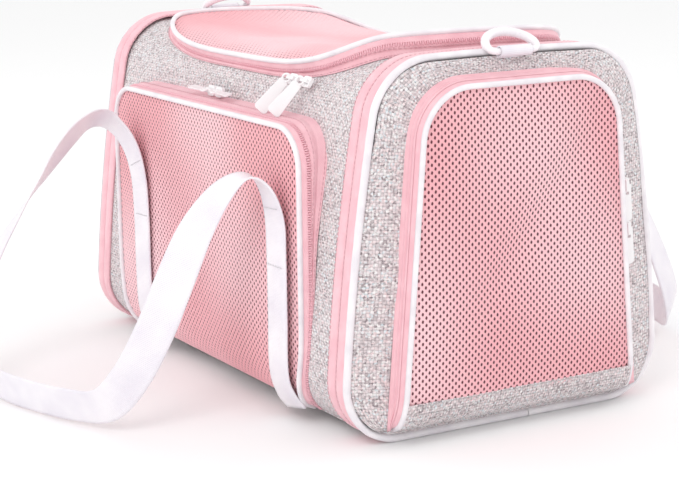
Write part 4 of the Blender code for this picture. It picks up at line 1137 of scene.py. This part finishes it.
def make_hoops():
    """White piping round each end, with its joint underneath, and the two folded tapes beside it."""
    edge = WRAP_X + 0.9
    for end, sign, tuck in (("near", 1, 0.0), ("far", -1, 1.7)):

        def loop(x, offset):
            outline = hoop_outline(offset)
            return np.insert(outline, 0, sign * x, axis=1)

        path = loop(HOOP_X + tuck * 0.4, -tuck)
        rough = 1 + 0.02 * np.sin(np.arange(len(path)) * 0.9) + 0.015 * np.sin(np.arange(len(path)) * 2.3)
        tube_piece(f"hoop_{end}_edge_piping", path, (PIPING_R - 0.02) * rough / rough.max(), "white_piping", "bag",
                   closed=True, side=(1, 0, 0), sides=18, replaces=(f"hoop_piping_{end}",))
        rings = []
        for share in np.arange(25) / 24:
            lobe = abs(math.sin(share * 2 * math.pi)) ** 0.5
            ring = loop(edge + tuck - share * BINDING_WIDTH, 0.1 + (1.5 + 0.5 * tuck) * lobe)
            rings.append(resize_ring(ring[:RING_POINTS], RING_POINTS))
        grid_piece(f"hoop_{end}_folded_tape", np.stack(rings, axis=1), "pink_tape", "bag", closed_rows=True,
                   flip=sign < 0, replaces=(f"hoop_binding_{end}",), thickness=0.6)
        rows = []
        for share in (0.46, 0.96):
            line = loop(edge - BINDING_WIDTH * share, 1.3)
            out = unit(line[:, 1:] - np.array([0.0, HOOP_HEIGHT / 2]))
            rows.append((line, np.insert(out, 0, 0.0, axis=1)))
        add_stitches(f"hoop_{end}_stitches", rows, "pink_thread", "bag", "pink_tape")
        ring = np.array([(sign * HOOP_X + 3.0 * math.cos(a), sign * 18.0, PIPING_R + 3.0 * math.sin(a))
                         for a in np.linspace(0, 2 * math.pi, 20, endpoint=False)])
        tube_piece(f"hoop_{end}_piping_joint", ring, 0.35, "white_thread", "bag", closed=True, side=(0, 1, 0),
                   sides=6, slot="white_piping")


# Handles. The CAD model's route: x, distance out from the bag's middle plane and height, then the width
# direction.
HANDLE = [
    (134, 127, 10, 1.0, 0.0, 0.2), (132, 134, 20, 1.0, 0.0, 0.2), (130, 139, 38, 1.0, 0.0, 0.0),
    (130, 139.2, 80, 1.0, 0.0, 0.0), (130, 139.2, 120, 1.0, 0.0, 0.0), (129.5, 140, 150, 1.0, 0.0, 0.1),
    (127, 146, 171, 1.0, 0.2, 0.2), (120, 157, 179, 1.0, 0.3, 0.0), (113, 173, 168, 1.0, 0.0, -0.3),
    (108, 191, 142, 0.8, -0.4, -0.4), (108, 208, 109, 0.6, -0.7, -0.4), (108, 224, 76, 0.5, -0.8, -0.4),
    (103, 241, 44, 0.4, -0.7, -0.6), (88, 256, 21, 0.2, -0.5, -0.8), (58, 270, 16, -0.1, -0.3, -0.9),
    (18, 284, 15, -0.1, -0.3, -0.95), (-25, 294, 16, -0.2, -0.2, -1.0), (-62, 299, 28, -0.5, 0.2, -0.8),
    (-90, 288, 57, -0.9, 0.2, -0.4), (-101, 264, 96, -1.0, 0.0, -0.2), (-103, 243, 125, -1.0, -0.3, -0.1),
    (-97, 226, 151, -0.9, -0.4, -0.3), (-100, 209, 171, -0.7, -0.3, -0.6), (-110, 189, 185, -0.6, -0.1, -0.7),
    (-121, 168, 192, -0.7, 0.1, -0.6), (-123, 152, 187, -0.9, 0.0, -0.4), (-113, 142.5, 170, -1.0, 0.0, -0.3),
    (-104, 139.5, 145, -1.0, 0.0, -0.1), (-101, 139.2, 110, -1.0, 0.0, 0.0), (-101, 139.2, 75, -1.0, 0.0, 0.0),
    (-99, 139, 38, -1.0, 0.0, 0.0), (-96, 134, 20, -1.0, 0.0, 0.0), (-94, 127, 10, -1.0, 0.0, 0.0),
]
SEWN_LEG = 150.0              # how far up each end of a handle its sewn box reaches


def make_handle(name, sign):
    """Satin webbing on its route, with two rows of stitches across each leg."""
    route = even(curve(np.array(HANDLE, float), 12), FINE)
    for _ in range(6):
        route[1:-1, 3:] = (route[:-2, 3:] + route[1:-1, 3:] * 2 + route[2:, 3:]) / 4
    mirror = np.array([1.0, sign, 1.0])
    path = route[:, :3] * mirror
    first, second = frames(path, False, route[:, 3:] * mirror)
    half = STRAP_WIDTH / 2
    thick = STRAP_THICKNESS / 2
    across = np.linspace(0.96, -0.96, 13) * half
    section = [(0.0, half), *((thick, b) for b in across), (0.0, -half), *((-thick, b) for b in across[::-1])]
    count = len(section)
    grid = np.array([[p + f * a + s * b for a, b in section] for p, f, s in zip(path, first, second)])
    grid[:, :, 2] = np.maximum(grid[:, :, 2], 0.3)
    lengths = lengths_along(path)
    cloth = np.column_stack([np.repeat(lengths, count), np.tile([b for _, b in section], len(path))])
    strap = add_piece(f"{name}_webbing", grid.reshape(-1, 3), cord_faces(len(path), count, False), "pearl_webbing",
                      "bag", cloth, replaces=(name,))
    rows = []
    low = np.flatnonzero(lengths < SEWN_LEG)[-1]
    high = np.flatnonzero(lengths > lengths[-1] - SEWN_LEG)[0]
    for at in (low, low - 14, high, high + 14):
        line = np.array([path[at] + second[at] * b * (half - 3) for b in (-1, 0, 1)])
        out = first[at] * np.sign(first[at][1] * sign)
        rows.append((line + out * (thick + 0.25), out))
    stitches = add_stitches(f"{name}_stitches", rows, "white_thread", "bag", "pearl_webbing")
    return strap, stitches


def make_handles():
    """Two handles; the front one's webbing and stitches get meshes of their own."""
    for piece in make_handle("front_handle", -1):
        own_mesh(piece)
    make_handle("back_handle", 1)


# Hardware

def soften(piece):
    """Round a hard piece's edges a little."""
    bevel = piece.modifiers.new("rounding", "BEVEL")
    bevel.width = 0.25 * MM
    bevel.segments = 2
    bevel.limit_method = "ANGLE"
    bevel.angle_limit = math.radians(40)


def make_hardware():
    """Zip sliders, end pulls, spring wires and the base board keep their CAD shape, and get their looks."""
    looks = {"hoop_wire_near": "spring_steel", "hoop_wire_far": "spring_steel", "base_board": "board"}
    zips = [name for name in frame["nodes"] if "slider" in name or "pull" in name]
    for name in (*zips, *looks):
        node = frame["nodes"][name]
        look = looks.get(name, "white_metal")
        node.data.materials.clear()
        node.data.materials.append(LOOKS[look].material)
        if name in zips:
            soften(node)


def make_pull(zip_name, end, way, face, length, width, aside):
    """A zip pull that hangs from its joint: an oval eye and a flat tab with rounded corners."""
    name = f"{zip_name}_pull_{end}"
    pivot = HINGE_AT[f"{name}_swing"] + np.array(aside, float)
    way = unit(np.array(way, float))
    face = unit(np.array(face, float) - np.dot(face, way) * way)
    side = np.cross(face, way)
    eye = np.array([pivot + way * (1.9 + 3.0 * math.cos(a)) + side * 2.7 * math.sin(a)
                    for a in np.linspace(0, 2 * math.pi, 24, endpoint=False)])
    outline = rounded_polygon([(4.4, -width * 0.32, 1.2), (length, -width / 2, 2.6), (length, width / 2, 2.6),
                               (4.4, width * 0.32, 1.2)], 6)
    count = len(outline)
    tab = np.array([pivot + way * u + side * v + face * w for w in (-0.65, 0.65) for u, v in outline])
    faces = [tuple(range(count))[::-1], tuple(range(count, 2 * count))]
    faces += [(k, (k + 1) % count, count + (k + 1) % count, count + k) for k in range(count)]
    points, faces, cloth = joined([(tab, faces, np.tile(outline, (2, 1))), tube_mesh(eye, 0.85, 10, True, face)])
    piece = add_piece(f"{name}_tab", points, faces, "white_metal", f"pull_{zip_name}_{end}", cloth,
                      replaces=(name,))
    piece.data.shade_flat()
    soften(piece)


def make_pulls():
    """The top pulls hang with their flat sides outwards, and the front ones lie edge on along the zip."""
    for end in ("left", "right"):
        make_pull("top", end, (-0.50, -0.44, -0.75), (0.846, -0.491, 0.208), 34.0, 11.0, (0.0, -1.2, 1.0))
    for end, way in (("left", -1.0), ("right", 1.0)):
        make_pull("front", end, (way, 0.0, 0.0), (0.0, -0.25, 1.0), 27.0, 7.0, (0.0, -3.4, 0.6))


def make_rings():
    """Strap rings, thicker round their bow than along their bar, and the webbing loop that holds each."""
    half, reach, corner = 20.2, 19.8, 5.0
    bar_radius, bow_radius = 2.3, 3.2
    loop_radius = bar_radius + 1.0
    lean = math.radians(55.0)
    across = np.array([0.0, 1.0, 0.0])
    quarter = np.linspace(0, math.pi / 2, 7)
    flat = [(u, 0.0) for u in np.linspace(-(half - corner), half - corner, 12)]
    flat += [(half - corner + corner * math.sin(a), corner - corner * math.cos(a)) for a in quarter[1:]]
    flat += [(half * math.cos(a), corner + (reach - corner) * math.sin(a)) for a in np.linspace(0, math.pi, 33)[1:-1]]
    flat += [(-half + corner - corner * math.cos(a), corner - corner * math.sin(a)) for a in quarter[:-1]]
    for end, sign in (("near", 1), ("far", -1)):
        pivot = HINGE_AT[f"{end}_ring_swing"]
        up = np.array([-sign * math.sin(lean), 0.0, math.cos(lean)])
        path = resize_ring(np.array([pivot + across * u + up * v for u, v in flat]), 90)
        rise = np.clip((path - pivot) @ up / reach * 3, 0, 1)
        radius = bar_radius + (bow_radius - bar_radius) * rise
        points, faces, cloth = tube_mesh(path, radius, 16, True, np.cross(across, up))
        add_piece(f"{end}_strap_ring", points, faces, "white_plastic", f"ring_{end}", cloth,
                  replaces=(f"d_ring_{end}",))
        line = [(-sign * loop_radius, height) for height in (-6.0, -4.0, -2.0)]
        for a in np.linspace(math.pi, math.pi - math.radians(285), 26):
            line.append((sign * loop_radius * math.cos(a), loop_radius * math.sin(a)))
        grid = np.array([[(pivot[0] + a, w, pivot[2] + b) for w in np.linspace(-13, 13, 19)] for a, b in line])
        grid_piece(f"{end}_ring_loop", grid, "pearl_webbing", "bag", replaces=(f"d_ring_loop_{end}",),
                   thickness=1.1)


# Bed pad

def applied(piece):
    """Apply an object's modifiers to its mesh."""
    bpy.context.view_layer.update()
    evaluated = piece.evaluated_get(bpy.context.evaluated_depsgraph_get())
    mesh = bpy.data.meshes.new_from_object(evaluated)
    piece.modifiers.clear()
    piece.data = mesh


def make_pad():
    """The fleece pad, puffed by a cloth simulation, then quilted in shallow channels."""
    low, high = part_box("bed_pad")
    inset = 4.0 * MM
    channel_pitch, channel_depth = 68.0, 2.2 * MM
    most_puff = 4.0 * MM
    mesh = bpy.data.meshes.new("bed_pad_cover")
    bm = bmesh.new()
    bmesh.ops.create_cube(bm, size=1.0)
    size = high - low
    for vert in bm.verts:
        vert.co = Vector([(c * (size[i] - 2 * inset)) for i, c in enumerate(vert.co)])
        vert.co += (low + high) / 2
    upright = [e for e in bm.edges if abs((e.verts[0].co - e.verts[1].co).z) > size.z * 0.3]
    bmesh.ops.bevel(bm, geom=upright, offset=12 * MM, segments=4, affect="EDGES")
    bm.to_mesh(mesh)
    bm.free()
    pad = bpy.data.objects.new("bed_pad_cover", mesh)
    bpy.context.scene.collection.objects.link(pad)
    remesh = pad.modifiers.new("remesh", "REMESH")
    remesh.mode = "VOXEL"
    remesh.voxel_size = 5 * MM
    applied(pad)
    rest = np.array([vert.co for vert in pad.data.vertices])
    cloth = pad.modifiers.new("cloth", "CLOTH")
    cloth.settings.use_pressure = True
    cloth.settings.uniform_pressure_force = 4.0
    cloth.settings.effector_weights.gravity = 0.0
    cloth.settings.quality = 4
    for step in range(1, 16):
        bpy.context.scene.frame_set(step)
    applied(pad)
    bpy.context.scene.frame_set(1)
    move = np.array([vert.co for vert in pad.data.vertices]) - rest
    move *= np.minimum(1.0, most_puff / np.maximum(np.linalg.norm(move, axis=1), 1e-9))[:, None]
    done = rest + move
    channel = np.exp(-((((done[:, 0] / MM + 200) % channel_pitch) - channel_pitch / 2) / 3.0) ** 2)
    done[:, 2] -= np.where(done[:, 2] > (low.z + high.z) / 2, channel * channel_depth, 0.0)
    done = np.clip(done, np.array(low) + 0.2 * MM, np.array(high) - 0.2 * MM)
    pad.data.vertices.foreach_set("co", done.astype(np.float32).ravel())
    pad.data.update()
    pad.data.shade_smooth()
    pad.data.materials.append(LOOKS["fleece"].material)
    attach(pad, "bag")
    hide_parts("bed_pad")


make_camera()
make_handles()
make_studio()
make_hoops()
make_wrap()
make_base()
make_end_panels()
make_front_door()
make_end_door()
make_lid()
make_lid_hinge()
make_windows()
make_rings()
make_hardware()
make_pulls()
make_pad()
